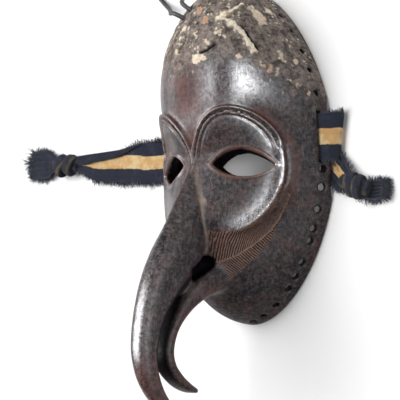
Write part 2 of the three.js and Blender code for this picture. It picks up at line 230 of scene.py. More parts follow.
# Brow: ridges and grooves along the upper edge of the eye boss, each as place, half width and height
BROW_RIDGES = [(-1.0, 1.6, 2.6), (-3.1, 0.6, -1.2), (-4.3, 0.75, 1.5), (-5.8, 0.8, -0.7)]
# How far down the brow runs beside the nose, how early it ends at the temple, and how softly
BROW_REACH = {"nose": 0.25, "temple": 0.55, "fade": 0.2}
SIDE_FADE = 0.35
BOSS_CREST = {"at": -2.6, "width": 3.2, "height": 1.7}
BOSS_GROOVE = {"at": 2.4, "width": 1.6, "depth": 0.3}


def boss_place(x, y):
    """Signed distance outside the boss's outline, how far up and how far aside on it, and its gauge."""
    u = (x - BOSS["x"] - BOSS["lean"] * (y - BOSS["y"])) / BOSS["half_width"]
    v = (y - BOSS["y"]) / BOSS["half_height"]
    ring = np.maximum(np.hypot(u, v), 1e-6)
    slope = np.hypot(u / BOSS["half_width"], v / BOSS["half_height"]) / ring
    return (ring - BOSS_OUTLINE) / np.maximum(slope, 1e-6), v / ring, u / ring, ring


def carving(x, y):
    """How far the carved face stands out from the plain dome; x is the distance from the middle line."""
    distance, height, side, ring = boss_place(x, y)
    fade = BROW_REACH["fade"]
    round_it = height + BROW_REACH["nose"] * (side < 0) - BROW_REACH["temple"] * np.maximum(side, 0)
    upper = smoothstep(round_it, -fade, fade)
    beside = smoothstep(side, -SIDE_FADE, SIDE_FADE) * (1 - upper)
    edge = BOSS_EDGE["side"] + (BOSS_EDGE["top"] - BOSS_EDGE["side"]) * upper
    edge = edge + BOSS_EDGE["foot"] * (1 - upper) * (1 - beside)
    raised = BOSS["height"] * (1 - smoothstep(ring, 1 - edge, 1 + edge))
    sunk = sum(
        form["depth"] * bump(x - form["x"], form["reach"][0]) * bump(y - form["y"], form["reach"][1])
        for form in (SOCKET, BRIDGE)
    )
    brow = sum(rise * bump(distance - at, width) for at, width, rise in BROW_RIDGES)
    crest = BOSS_CREST["height"] * bump(distance - BOSS_CREST["at"], BOSS_CREST["width"])
    groove = BOSS_GROOVE["depth"] * bump(distance - BOSS_GROOVE["at"], BOSS_GROOVE["width"])
    edges = upper * brow + beside * (crest - groove)
    return raised - sunk + edges + swelling(x, y, FOREHEAD) + swelling(x, y, MUZZLE)


def dome_point(x, y):
    """The place on the carved dome over a place on its plan."""
    x, y = np.atleast_1d(np.asarray(x, float)), np.atleast_1d(np.asarray(y, float))
    along = y - WIDEST_Y
    share = dome_gauge(x, y, np.zeros_like(x), 0, DEPTH)
    full = fullness(x, along)
    place = np.stack([x, along, DEPTH * np.maximum(0, 1 - share**full) ** (1 / full)], 1)
    length = np.linalg.norm(place, axis=1)
    place *= ((length + carving(np.abs(x), y)) / np.maximum(length, 1e-6))[:, None]
    place[:, 1] += WIDEST_Y
    return place


# The two halves of the beak
def smooth_line(points, steps):
    """Points on a smooth curve through these, with any number of columns."""
    p = np.asarray(points, float)
    p = np.vstack([2 * p[0] - p[1], p, 2 * p[-1] - p[-2]])
    t = np.linspace(0, 1, steps, endpoint=False)[:, None]
    rows = [
        0.5 * (2 * b + (c - a) * t + (2 * a - 5 * b + 4 * c - d) * t**2 + (3 * b - a - 3 * c + d) * t**3)
        for a, b, c, d in zip(p, p[1:], p[2:], p[3:])
    ]
    return np.vstack([*rows, p[-2]])


def run_along(line):
    """How far along a line each of its points lies."""
    return np.concatenate([[0], np.cumsum(np.linalg.norm(np.diff(line, axis=0), axis=1))])


SAMPLES_PER_STATION = 9
# The section's powers across and outward: plain, on the side of the gap, and on the keel of the bridge
ROUND_POWERS = (2.35, 2.0)
FLAT_POWERS = (2.9, 3.3)
KEEL_POWERS = (1.3, 1.2)
KEEL_FADE = (-85, -50)
BEAK_ENDS = {"overlap": 0.8, "blend": 1.5}
DISTANCE_LIMITS = (-12, 40)
FAR_AWAY = 30.0
# This many places are compared with the guide line at a time
PLACES_AT_ONCE = 40000


class Beak:
    """One half of the beak: a loft along a guide line in the middle plane."""

    def __init__(self, stations, flat_side):
        line = smooth_line(stations, SAMPLES_PER_STATION)
        self.place, self.sizes, self.flat_side = line[:, :2], line[:, 2:], flat_side
        ahead = np.gradient(self.place, axis=0)
        self.ahead = ahead / np.linalg.norm(ahead, axis=1)[:, None]

    def local(self, y, z):
        """Nearest sample of the guide line, and the places along and outward from it."""
        nearest = np.empty(len(y), int)
        for start in range(0, len(y), PLACES_AT_ONCE):
            part = slice(start, start + PLACES_AT_ONCE)
            far = (y[part, None] - self.place[:, 0]) ** 2 + (z[part, None] - self.place[:, 1]) ** 2
            nearest[part] = far.argmin(1)
        off_y, off_z = y - self.place[nearest, 0], z - self.place[nearest, 1]
        ahead = self.ahead[nearest]
        along = off_y * ahead[:, 0] + off_z * ahead[:, 1]
        outward = off_y * ahead[:, 1] - off_z * ahead[:, 0]
        return nearest, along, outward

    def facing(self, points, normals):
        """How squarely each place faces outward from the guide line: 1 away from the face, -1 towards it."""
        ahead = self.ahead[self.local(points[:, 1], points[:, 2])[0]]
        return normals[:, 1] * ahead[:, 1] - normals[:, 2] * ahead[:, 0]

    def distance(self, x, y, z):
        """About how far outside the beak each place is."""
        nearest, along, outward = self.local(y, z)
        ahead = self.ahead[nearest]
        last = len(self.place) - 1
        after, before = np.minimum(nearest + 1, last), np.maximum(nearest - 1, 0)
        step = np.linalg.norm(self.place[after] - self.place[before], axis=1)
        shift = np.clip(along / (step / 2), -0.5, 0.5)
        beside = np.clip(nearest + np.where(shift > 0, 1, -1), 0, last)
        change = (self.sizes[beside] - self.sizes[nearest]) * np.abs(shift)[:, None]
        width, above, below = (self.sizes[nearest] + change).T
        over = outward > 0
        reach = np.where(over, above, below)
        flat = over == (self.flat_side > 0)
        across_power = np.where(flat, FLAT_POWERS[0], ROUND_POWERS[0])
        rise_power = np.where(flat, FLAT_POWERS[1], ROUND_POWERS[1])
        if self.flat_side < 0:
            keel = smoothstep(y, *KEEL_FADE) * over
            across_power = across_power + (KEEL_POWERS[0] - across_power) * keel
            rise_power = rise_power + (KEEL_POWERS[1] - rise_power) * keel
        u, v = np.abs(x) / width, np.abs(outward) / reach
        gauge = u**across_power + v**rise_power
        slope = np.hypot(
            across_power / width * u ** (across_power - 1),
            rise_power / reach * v ** (rise_power - 1),
        )
        found = np.clip((gauge - 1) / np.maximum(slope, 0.05), *DISTANCE_LIMITS)
        past_tip = np.where(nearest == last, along, -1e3)
        past_base = np.where(nearest == 0, -along, -1e3)
        return smooth_max(found, np.maximum(past_tip, past_base) - BEAK_ENDS["overlap"], BEAK_ENDS["blend"])


UPPER = Beak(UPPER_BEAK, -1)
LOWER = Beak(LOWER_BEAK, 1)
BEAK_ZONE = {"x": 26, "y": 6, "z": 30}


# Cuts: eyes, mouth, holes and slots
def lens_distance(u, v, half_length, half_height):
    """Signed distance outside a lens shape with two pointed ends."""
    radius = (half_length**2 + half_height**2) / (2 * half_height)
    drop = radius - half_height
    return np.hypot(u, np.abs(v) + drop) - radius


EYE_MIDDLE = dome_point(EYE["x"], EYE["y"])[0]


def eye_place(x, y, z):
    """Signed distance outside the eye hole's outline, and the depth along its axis."""
    lean = math.radians(EYE["lean"])
    off_x, off_z = x - EYE_MIDDLE[0], z - EYE_MIDDLE[2]
    u = off_x * math.cos(lean) - off_z * math.sin(lean)
    w = off_x * math.sin(lean) + off_z * math.cos(lean)
    v = y - EYE["y"] - EYE_INWARDS["fall"] * np.minimum(w, 0)
    lens = lens_distance(u, v, EYE["half_length"], EYE["half_height"])
    return lens - EYE_INWARDS["taper"] * np.minimum(w, 0), w


def mouth_distance(x, y, z):
    """The void between the two halves of the beak, which ends inside the wood."""
    lean = math.radians(MOUTH["lean"])
    off_y, off_z = y - MOUTH["y"], z - MOUTH["z"]
    v = np.abs(off_y * math.cos(lean) + off_z * math.sin(lean)) / MOUTH["half_height"]
    w = off_z * math.cos(lean) - off_y * math.sin(lean)
    gauge = ((x / MOUTH["half_width"]) ** MOUTH["power"] + v ** MOUTH["power"]) ** (1 / MOUTH["power"])
    ends = np.maximum(-w - MOUTH["inwards"], w - MOUTH["outwards"])
    return np.maximum((gauge - 1) * MOUTH["half_height"], ends)


def slot_distance(x, y, z):
    along = np.abs(y - SLOT["y"]) - SLOT["half_length"]
    return np.maximum(np.maximum(along, np.abs(z - SLOT["z"]) - SLOT["half_height"]), SLOT["inner_x"] - x)


def underside(y):
    """Height of the underside: flat on the floor, with a shallow notch where the ties pass."""
    share = np.clip(np.abs(y - NOTCH["y"]) / NOTCH["half_length"], 0, 1)
    return NOTCH["height"] * (1 - share ** NOTCH["power"])


def rim_holes():
    """Middle and axis of each hole near the rim, square to the surface there."""
    holes = []
    for angle in RIM_HOLE_ANGLES:
        turn = math.radians(angle)
        end = CROWN if angle > 0 else CHIN
        out = np.array([math.cos(turn) * HALF_WIDTH, math.sin(turn) * end["length"]])
        share = dome_gauge(out[:1], out[1:] + WIDEST_Y, np.zeros(1), 0, DEPTH)[0]
        full = SIDE_FULLNESS + (end["fullness"] - SIDE_FULLNESS) * math.sin(turn) ** 2
        ring = []
        for height in (RIM_HOLE["height"] - 2, RIM_HOLE["height"] + 2):
            part = (1 - (height / DEPTH) ** full) ** (1 / full)
            ring.append([*(out * part / share + (0, WIDEST_Y)), height])
        low, high = np.array(ring)
        outward = np.array([out[0] / HALF_WIDTH**2, out[1] / end["length"] ** 2, 0])
        outward /= np.linalg.norm(outward)
        up = (high - low) / np.linalg.norm(high - low)
        axis = outward - up * (outward @ up)
        middle = (low + high) / 2
        for side in (1, -1):
            mirror = np.array([side, 1, 1])
            holes.append((middle * mirror, axis / np.linalg.norm(axis) * mirror))
    return holes


RIM_HOLES = rim_holes()


def cord_holes():
    holes = []
    for end, beyond in ((CORD_ROUTE[0], CORD_ROUTE[1]), (CORD_ROUTE[-1], CORD_ROUTE[-2])):
        axis = np.array(beyond) - end
        holes.append((np.array(beyond), axis / np.linalg.norm(axis)))
    return holes


CORD_HOLES = cord_holes()


def cut_round_holes(wood, points, holes, radius, reach, bevel):
    """Cuts round holes, with worn edges, out of the wood's distances."""
    for middle, axis in holes:
        near = np.where(np.abs(points - middle).max(1) < reach)[0]
        if not len(near):
            continue
        off = points[near] - middle
        along = off @ axis
        aside = np.linalg.norm(off - along[:, None] * axis, axis=1) - radius
        wood[near] = smooth_max(wood[near], -aside, bevel)
    return wood


BLENDS = {"upper": 2.2, "lower": 7.0, "hollow": 1.6, "rim": 1.4, "eye": 1.1, "mouth": 1.6, "hole": 1.3}
EYE_RIM = {"at": 1.5, "width": 1.15, "height": 1.0}


def outside_fields(points):
    """Distances outside the dome and each half of the beak, and from the eye holes' outline."""
    x, y, z = np.abs(points[:, 0]), points[:, 1], np.maximum(points[:, 2], 0)
    along = y - WIDEST_Y
    gauge = dome_gauge(x, y, z, 0, DEPTH)
    radius = np.sqrt(x**2 + along**2 + z**2)
    eye, eye_depth = eye_place(x, y, z)
    rim = EYE_RIM["height"] * bump(eye - EYE_RIM["at"], EYE_RIM["width"])
    dome = radius * (1 - 1 / gauge) - carving(x / gauge, along / gauge + WIDEST_Y) - rim
    upper, lower = np.full((2, len(x)), FAR_AWAY)
    near = np.where((x < BEAK_ZONE["x"]) & (y < BEAK_ZONE["y"]) & (z > BEAK_ZONE["z"]))[0]
    upper[near] = UPPER.distance(x[near], y[near], z[near])
    lower[near] = LOWER.distance(x[near], y[near], z[near])
    return dome, upper, lower, eye, eye_depth


def wood_distance(points):
    """About how far outside the wood each place is."""
    dome, upper, lower, eye, eye_depth = outside_fields(points)
    wood = smooth_min(dome, upper, BLENDS["upper"])
    wood = smooth_min(wood, lower, BLENDS["lower"])
    x, y = np.abs(points[:, 0]), points[:, 1]
    z = np.maximum(points[:, 2], 0)
    inner = dome_gauge(x, y, z, RIM_WALL, DEPTH - FACE_WALL)
    hollow = np.sqrt(x**2 + (y - WIDEST_Y) ** 2 + z**2) * (1 - 1 / inner) + swelling(x, y, NOSE_BLOCK)
    wood = smooth_max(wood, -hollow, BLENDS["hollow"])
    wood = smooth_max(wood, underside(y) - points[:, 2], BLENDS["rim"])
    wood = smooth_max(wood, -np.maximum(eye, np.abs(eye_depth) - EYE["depth"]), BLENDS["eye"])
    wood = smooth_max(wood, -mouth_distance(x, y, z), BLENDS["mouth"])
    wood = np.maximum(wood, -slot_distance(x, y, points[:, 2]))
    wood = cut_round_holes(wood, points, RIM_HOLES, RIM_HOLE["radius"], RIM_HOLE["reach"], BLENDS["hole"])
    return cut_round_holes(wood, points, CORD_HOLES, CORD_HOLE_RADIUS, RIM_HOLE["reach"], BLENDS["hole"])


# A mesh from the distances
GRID_STEP = 1.15
GRID_LOW = (-80, -191, -3)
GRID_HIGH = (80, 125, 126)
GRID_PARTS = 12


def surface_net(values, low, step):
    """Quads round the zero surface of a grid of values."""
    inside = values < 0
    corners = np.array(list(np.ndindex(2, 2, 2)))
    blocks = [inside[i : i - 1 or None, j : j - 1 or None, k : k - 1 or None] for i, j, k in corners]
    count = sum(b.astype(np.int8) for b in blocks)
    mixed = (count > 0) & (count < 8)
    cells = np.argwhere(mixed)
    number = np.full(mixed.shape, -1, np.int64)
    number[mixed] = np.arange(len(cells))
    place = np.zeros((len(cells), 3))
    crossings = np.zeros(len(cells))
    for a in corners:
        for axis in range(3):
            if a[axis]:
                continue
            b = a.copy()
            b[axis] = 1
            first, second = (values[tuple((cells + c).T)] for c in (a, b))
            crosses = (first < 0) != (second < 0)
            part = np.where(crosses, first / np.where(crosses, first - second, 1), 0)
            place += crosses[:, None] * (a + part[:, None] * (b - a))
            crossings += crosses
    points = np.asarray(low) + step * (cells + place / crossings[:, None])
    quads = []
    for axis in range(3):
        u, v = np.eye(3, dtype=int)[(axis + 1) % 3], np.eye(3, dtype=int)[(axis + 2) % 3]
        along = np.eye(3, dtype=int)[axis]
        ends = tuple(slice(0, n - s) for n, s in zip(inside.shape, along))
        starts = tuple(slice(s, None) for s in along)
        edges = np.argwhere(inside[ends] != inside[starts])
        edges = edges[((edges >= 1) | (along == 1)).all(1)]
        ring = [number[tuple((edges - s).T)] for s in (0 * u, u, u + v, v)]
        quad = np.stack(ring, 1)
        flip = ~inside[tuple(edges.T)]
        quad[flip] = quad[flip][:, ::-1]
        quads.append(quad)
    quads = np.vstack(quads)
    return points, quads[(quads >= 0).all(1)]


def wood_grid():
    """The wood's distances on a grid, worked out for one half of the mask and mirrored."""
    axes = [np.arange(low, high + GRID_STEP, GRID_STEP) for low, high in zip(GRID_LOW, GRID_HIGH)]
    axes[0] = np.arange(len(axes[0]) - len(axes[0]) // 2) * GRID_STEP
    grid = np.stack(np.meshgrid(*axes, indexing="ij"), -1).reshape(-1, 3)
    values = np.concatenate([wood_distance(part) for part in np.array_split(grid, GRID_PARTS)])
    values = values.reshape([len(axis) for axis in axes])
    both = np.concatenate([values[:0:-1], values], 0)
    return both, (-axes[0][-1], *GRID_LOW[1:])


def near_detail(middle):
    """How many cuts each face's edges get: most in the hatching, one on the brows and the crust."""
    x, y = np.abs(middle[:, 0]), middle[:, 1]
    outside = wood_side(middle)
    hatch = (hatch_share(middle) > 0.01) & outside
    face = (boss_place(x, y)[0] < 5) & outside
    crust = (crust_edge(x) - 8 < y) & outside
    return np.where(hatch, 2, np.where(face | crust, 1, 0))


def wood_side(points):
    """True on the outer face of the shell."""
    x, y, z = np.abs(points[:, 0]), points[:, 1], np.maximum(points[:, 2], 0)
    return dome_gauge(x, y, z, (RIM_WALL - 1) / 2, DEPTH - FACE_WALL / 2) > 1


# Feather hatching on the cheek: two bands of fine strokes on either side of a midrib
MIDRIB = [
    (10, -77), (16, -76.7), (25.6, -73.8), (32.5, -70),
    (38.4, -65.6), (46.5, -57.2), (53.4, -45.5), (58, -34),
]
HATCH_FOOT = [
    (10, -98), (15, -94.5), (22, -89), (34.4, -77.9),
    (44.7, -65.5), (51.3, -51.4), (55.2, -42), (58.6, -32),
]
HATCH = {"depth": 0.45, "midrib_width": 0.8, "midrib_height": 0.4, "steps": 8}
HATCH_ZONE = {"inner_x": (9, 11.5), "outer_x": 59, "high_y": -26, "low_z": 20, "ragged": 1.6}
# Upper and lower strokes: spacing along the midrib, and their lean at its two ends, in degrees
UPPER_STROKES = {"spacing": 1.95, "lean": (84, 58)}
LOWER_STROKES = {"spacing": 1.75, "lean": (-36, -44)}
CHEEK_TURN = 43


def on_cheek(points):
    """Places across and up the plane that the cheek faces."""
    turn = math.radians(CHEEK_TURN)
    across = np.abs(points[:, 0]) * math.cos(turn) - points[:, 2] * math.sin(turn)
    return np.stack([across, points[:, 1]], 1)


MIDRIB_LINE = on_cheek(dome_point(*smooth_line(MIDRIB, HATCH["steps"]).T))
MIDRIB_LENGTH = run_along(MIDRIB_LINE)


def hatch_place(points):
    """Place along the midrib, distance above it and its slope there, on the plane of the cheek."""
    plan = on_cheek(points)
    best = np.full(len(plan), 1e9)
    along, above, slope = np.zeros((3, len(plan)))
    for k in range(len(MIDRIB_LINE) - 1):
        ahead = MIDRIB_LINE[k + 1] - MIDRIB_LINE[k]
        length = np.linalg.norm(ahead)
        off = plan - MIDRIB_LINE[k]
        t = np.clip(off @ ahead / length**2, 0, 1)
        gap = off - t[:, None] * ahead
        far = np.linalg.norm(gap, axis=1)
        closer = far < best
        best[closer] = far[closer]
        along[closer] = MIDRIB_LENGTH[k] + t[closer] * length
        side = np.sign(ahead[0] * gap[:, 1] - ahead[1] * gap[:, 0])
        above[closer] = (side * far)[closer]
        slope[closer] = math.atan2(ahead[1], ahead[0])
    return along, above, slope


def hatch_share(points):
    """1 inside the hatched bands, 0 outside."""
    x, y = np.abs(points[:, 0]), points[:, 1]
    outside_boss = boss_place(x, y)[0]
    foot = np.interp(x, *np.array(HATCH_FOOT).T) + HATCH_ZONE["ragged"] * (noise(points, 2.5, 13) - 0.5)
    inside = smoothstep(outside_boss, 0, 1.2) * smoothstep(y - foot, -0.5, 0.8)
    zone = (points[:, 2] > HATCH_ZONE["low_z"]) & (x < HATCH_ZONE["outer_x"]) & (y < HATCH_ZONE["high_y"])
    beak = np.minimum(*outside_fields(points)[1:3])
    return inside * smoothstep(x, *HATCH_ZONE["inner_x"]) * zone * smoothstep(beak, 0.6, 2.5)


def hatch_wave(points):
    """Strokes across the hatched bands, 1 in a groove and -1 on a ridge, and the share of the midrib."""
    along, above, slope = hatch_place(points)
    part = along / MIDRIB_LENGTH[-1]
    phases = []
    for strokes in (UPPER_STROKES, LOWER_STROKES):
        first, last = np.radians(strokes["lean"])
        foot = along - above / np.tan(first + (last - first) * part - slope)
        phases.append(foot / strokes["spacing"])
    ragged = 0.5 * (noise(points, 7, 3) - 0.5) + 0.25 * (noise(points, 2.5, 4) - 0.5)
    phase = np.where(above > 0, *phases) + ragged
    rib = bump(above, HATCH["midrib_width"])
    return np.cos(2 * math.pi * phase) * (1 - rib), rib


def hatch_height(points):
    wave, rib = hatch_wave(points)
    depth = HATCH["depth"] * (0.45 + 1.1 * noise(points, 4, 5))
    return -depth * np.clip(wave, -0.4, 1) + HATCH["midrib_height"] * rib


# Dried crust over the crown, with pale flakes, a raised ridge and cracks
CRUST_EDGE = [(0, 58), (11, 58), (29, 60), (42, 61), (48, 54), (57, 44.5), (63, 39), (70, 31)]
CRUST = {"ragged": 26, "fade": 14, "broken": 2.2, "height": 0.2, "lumps": 1.3}
CRACKS = [
    {"line": [(33.5, 84), (38, 77), (43.5, 67.5)], "width": 0.8, "depth": 1.6},
    {"line": [(10.5, 65), (15, 67), (20.5, 70.5)], "width": 1.1, "depth": 1.7},
    {"line": [(1.6, 84.5), (3.6, 89)], "width": 0.5, "depth": 0.9},
    {"line": [(-7, 74), (-10, 71), (-11, 67)], "width": 0.8, "depth": 1.0},
    {"line": [(-20, 74), (-26, 69), (-29, 62)], "width": 0.8, "depth": 1.0},
]
PALE_RIDGE = [
    (26.3, 101), (25.7, 96.6), (22.5, 93), (19.5, 90), (26, 87),
    (30.8, 83.5), (35, 78), (38.2, 73), (42.5, 65),
]
PALE_RIDGE_SIZE = {"width": 2.3, "height": 1.8, "ragged": 3.4, "lumps": 2.4}
# Pale flakes: plan place, radius and how orange they are
FLAKES = [
    (33.5, 96, 6.5, 0.15), (29, 101, 4.0, 0.1), (37.5, 90.5, 5.0, 0.3), (33, 99, 4.4, 0.1),
    (21.5, 94.5, 2.6, 0.6), (2, 97.7, 2.3, 1.0), (9.6, 90, 2.6, 1.0), (20.8, 80, 1.9, 0.2),
    (14.9, 72.5, 1.8, 0.3), (12.4, 73.4, 1.5, 0.2), (36, 62.6, 2.6, 0.3), (24.6, 77, 0.9, 0.1),
    (34.2, 75.9, 1.0, 0.1), (52, 64, 3.4, 0.2), (56.4, 61, 2.8, 0.3), (47.6, 56, 2.4, 0.75),
    (50.4, 53.8, 2.9, 0.85), (53.4, 51.6, 2.6, 0.75), (60.4, 44.7, 2.0, 0.5), (58, 46.4, 1.0, 0.2),
    (64.6, 38.8, 2.0, 0.6), (9.6, 60.7, 4.2, 0.12), (-9.2, 84.8, 2.4, 0.25), (-10.6, 79, 1.8, 0.2),
    (-12.1, 68.4, 2.6, 0.25), (-24, 90, 3.0, 0.3), (-34, 70, 3.4, 0.3), (-44, 58, 2.6, 0.6),
    (-18, 104, 2.8, 0.8), (45, 78, 1.4, 0.5),
]
FLAKE_TURNS = np.random.default_rng(3).uniform(0, math.pi, len(FLAKES))
CRUST_LOW = 22
CHIP_SIZES = {"flake": 2.2, "speck": 1.5, "share": 0.7, "flake_height": 0.45, "speck_height": 0.2}


def crust_edge(x):
    return np.interp(np.abs(x), *np.array(CRUST_EDGE).T)


def on_dome(points):
    """Points moved straight out from, or in to, the middle of the rim until they lie on the carved dome."""
    middle = np.array([0, WIDEST_Y, 0])
    off = points - middle
    x, z = np.abs(off[:, 0]), np.maximum(off[:, 2], 0)
    gauge = dome_gauge(x, points[:, 1], z, 0, DEPTH)
    height = carving(x / gauge, off[:, 1] / gauge + WIDEST_Y)
    share = 1 / gauge + height / np.maximum(np.linalg.norm(off, axis=1), 1e-6)
    return middle + off * share[:, None]


def distance_to_line(points, plan_line):
    """Distance to a line that lies on the face, given by its plan, measured along the face."""
    line = dome_point(*np.array(plan_line, float).T)
    points = on_dome(points)
    best = np.full(len(points), 1e9)
    for a, b in zip(line, line[1:]):
        ahead = b - a
        t = np.clip((points - a) @ ahead / (ahead @ ahead), 0, 1)
        best = np.minimum(best, np.linalg.norm(points - a - t[:, None] * ahead, axis=1))
    return best


def chips(points, size):
    """The middle of the angular chip that each place belongs to, and a number from 0 to 1 for that chip."""
    base = np.floor(points / size).astype(np.int64)
    nearest, number = points.copy(), np.zeros(len(points))
    best = np.full(len(points), 1e9)
    for corner in np.ndindex(3, 3, 3):
        cell = base + corner - 1
        place = cell * NOISE_PRIMES
        picked = place[:, 0] ^ place[:, 1] ^ place[:, 2]
        jitter = np.stack([NOISE_TABLE[(picked + 101 * k) % NOISE_SIZE] for k in (1, 2, 3)], 1)
        middle = (cell + jitter) * size
        far = ((points - middle) ** 2).sum(1)
        closer = far < best
        best[closer] = far[closer]
        nearest[closer] = middle[closer]
        number[closer] = NOISE_TABLE[picked[closer] % NOISE_SIZE]
    return nearest, number


def crust_shares(points):
    """Shares of crust, pale flakes and orange, and how high the crust stands, at places on the crown."""
    edge = crust_edge(points[:, 0]) - CRUST["ragged"] * (rough_noise(points, 17, 5, 11) - 0.5)
    over_edge = (points[:, 1] - edge) / CRUST["fade"]
    crust = smoothstep(over_edge + CRUST["broken"] * (rough_noise(points, 4, 4, 12) - 0.5), -0.4, 0.6)
    flakes, orange = np.zeros(len(points)), np.zeros(len(points))
    ragged = rough_noise(points, 5, 4, 21) - 0.5
    chip, _ = chips(points, CHIP_SIZES["flake"])
    chip = points + CHIP_SIZES["share"] * (chip - points)
    middles = dome_point(*np.array(FLAKES)[:, :2].T)
    for (x, y, radius, warm), middle, turn in zip(FLAKES, middles, FLAKE_TURNS):
        off = chip - middle
        long = off[:, 0] * math.cos(turn) + off[:, 1] * math.sin(turn)
        far = np.sqrt(np.maximum((off**2).sum(1) - 0.55 * long**2, 0)) / radius + 1.6 * ragged
        share = 1 - smoothstep(far, 0.66, 0.86)
        orange = np.maximum(orange, share * warm)
        flakes = np.maximum(flakes, share)
    patches = smoothstep(rough_noise(points, 14, 3, 33), 0.46, 0.66)
    speck = chips(points, CHIP_SIZES["speck"])[1]
    specks = (speck > 1 - 0.10 * patches) * crust * (0.35 + 0.6 * noise(points, 5, 36))
    ridge_far = distance_to_line(points, PALE_RIDGE) + PALE_RIDGE_SIZE["ragged"] * ragged
    ridge_far += PALE_RIDGE_SIZE["lumps"] * (noise(points, 2.4, 37) - 0.4)
    ridge = 1 - smoothstep(ridge_far, PALE_RIDGE_SIZE["width"] * 0.6, PALE_RIDGE_SIZE["width"] * 1.4)
    pale = np.maximum.reduce([flakes * (0.6 + 0.75 * rough_noise(points, 2.5, 3, 8)), specks, ridge])
    lumps = rough_noise(points, 6, 5, 41) - 0.4
    height = crust * (CRUST["height"] + CRUST["lumps"] * lumps) + CHIP_SIZES["speck_height"] * specks
    height += CHIP_SIZES["flake_height"] * flakes + PALE_RIDGE_SIZE["height"] * ridge
    return crust, pale, orange, height


def sunk_share(fields):
    """1 on the walls of the cuts and holes, below the carved surface."""
    return smoothstep(-np.minimum.reduce(fields), 0.8, 2.4)


def crust_masks(points):
    """Shares of crust, pale flakes and orange, and how high the crust stands."""
    shares = np.zeros((4, len(points)))
    near = np.where(wood_side(points) & (points[:, 1] > CRUST_LOW))[0]
    shares[:, near] = crust_shares(points[near])
    return shares


def crack_depth(points):
    depth = np.zeros(len(points))
    for crack in CRACKS:
        far = distance_to_line(points, crack["line"]) + 0.5 * (noise(points, 2, 51) - 0.5)
        depth = np.maximum(depth, crack["depth"] * bump(far, crack["width"]))
    return depth * wood_side(points)


TOOL_MARKS = {"inside_size": 13, "inside_depth": 0.9, "outside_size": 9, "outside_depth": 0.22}


def relief(points):
    """Fine relief along the surface's normal."""
    outer = wood_side(points)
    crust, _, _, crust_height = crust_masks(points)
    hatch = hatch_share(points) * outer
    marks = TOOL_MARKS["outside_depth"] * (rough_noise(points, TOOL_MARKS["outside_size"], 3, 61) - 0.5)
    stretched = points * (1, 0.45, 1)
    scoops = np.abs(noise(stretched, TOOL_MARKS["inside_size"], 71) - 0.5) * 2
    inside = TOOL_MARKS["inside_depth"] * (scoops - 0.5)
    bedded = smoothstep(points[:, 2], 1.5, 6)
    base = np.where(outer, marks * (1 - hatch), inside)
    whole = 1 - sunk_share(outside_fields(points)[:3]) * outer
    return ((base + crust_height) * bedded + hatch * hatch_height(points)) * whole - crack_depth(points)


def gradient(points, values):
    step = 0.04
    columns = [(wood_distance(points + step * axis) - values) / step for axis in np.eye(3)]
    return np.stack(columns, 1)


def on_surface(points, rounds=3):
    """Moves points onto the wood's surface, and gives its normals there."""
    for _ in range(rounds):
        values = wood_distance(points)
        slope = gradient(points, values)
        size = (slope**2).sum(1)
        move = (values / np.maximum(size, 0.05))[:, None] * slope
        far = np.linalg.norm(move, axis=1, keepdims=True)
        points = points - move * np.minimum(1, GRID_STEP / np.maximum(far, 1e-9))
    return points, slope / np.maximum(np.sqrt(size), 1e-6)[:, None]


def read_points(mesh):
    flat = np.empty(len(mesh.vertices) * 3)
    mesh.vertices.foreach_get("co", flat)
    return flat.reshape(-1, 3)


def write_points(mesh, points):
    mesh.vertices.foreach_set("co", np.asarray(points, np.float32).ravel())
    mesh.update()


def new_object(name, data):
    piece = bpy.data.objects.new(name, data)
    bpy.context.scene.collection.objects.link(piece)
    return piece


def apply_modifiers(piece):
    evaluated = piece.evaluated_get(bpy.context.evaluated_depsgraph_get())
    mesh = bpy.data.meshes.new_from_object(evaluated)
    piece.modifiers.clear()
    old = piece.data
    piece.data = mesh
    bpy.data.meshes.remove(old)


def edge_curvature(mesh, points, normals, rounds=3):
    """How convex the surface is at each vertex, in 1/mm, smoothed a little."""
    edges = np.empty(len(mesh.edges) * 2, np.int64)
    mesh.edges.foreach_get("vertices", edges)
    a, b = edges.reshape(-1, 2).T
    count = np.bincount(a, minlength=len(points)) + np.bincount(b, minlength=len(points))
    count = np.maximum(count, 1)

    def average(values):
        return (np.bincount(a, values[b], len(points)) + np.bincount(b, values[a], len(points))) / count

    off = points[b] - points[a]
    size = np.maximum((off**2).sum(1), 1e-4)
    bend_a = -(off * normals[a]).sum(1) / size
    bend_b = (off * normals[b]).sum(1) / size
    bend = (np.bincount(a, bend_a, len(points)) + np.bincount(b, bend_b, len(points))) / count
    for _ in range(rounds):
        bend = (bend + average(bend)) / 2
    return bend


def refine(points, quads):
    """Splits the faces that carry fine carving, and returns a mesh in millimetres."""
    mesh = bpy.data.meshes.new("carved_mask")
    mesh.from_pydata(points.tolist(), [], quads.tolist())
    build = bmesh.new()
    build.from_mesh(mesh)
    for cuts in (2, 1):
        middles = np.array([face.calc_center_median() for face in build.faces])
        wanted = near_detail(middles)
        faces = [face for face, n in zip(build.faces, wanted) if n == cuts and len(face.verts) == 4]
        edges = {edge for face in faces for edge in face.edges}
        if cuts == 1:
            edges = {edge for edge in edges if edge.calc_length() > GRID_STEP * 0.5}
        bmesh.ops.subdivide_edges(build, edges=list(edges), cuts=cuts, use_grid_fill=True)
    bmesh.ops.triangulate(build, faces=build.faces)
    build.to_mesh(mesh)
    build.free()
    return mesh


MASK_TRIANGLES = 190000


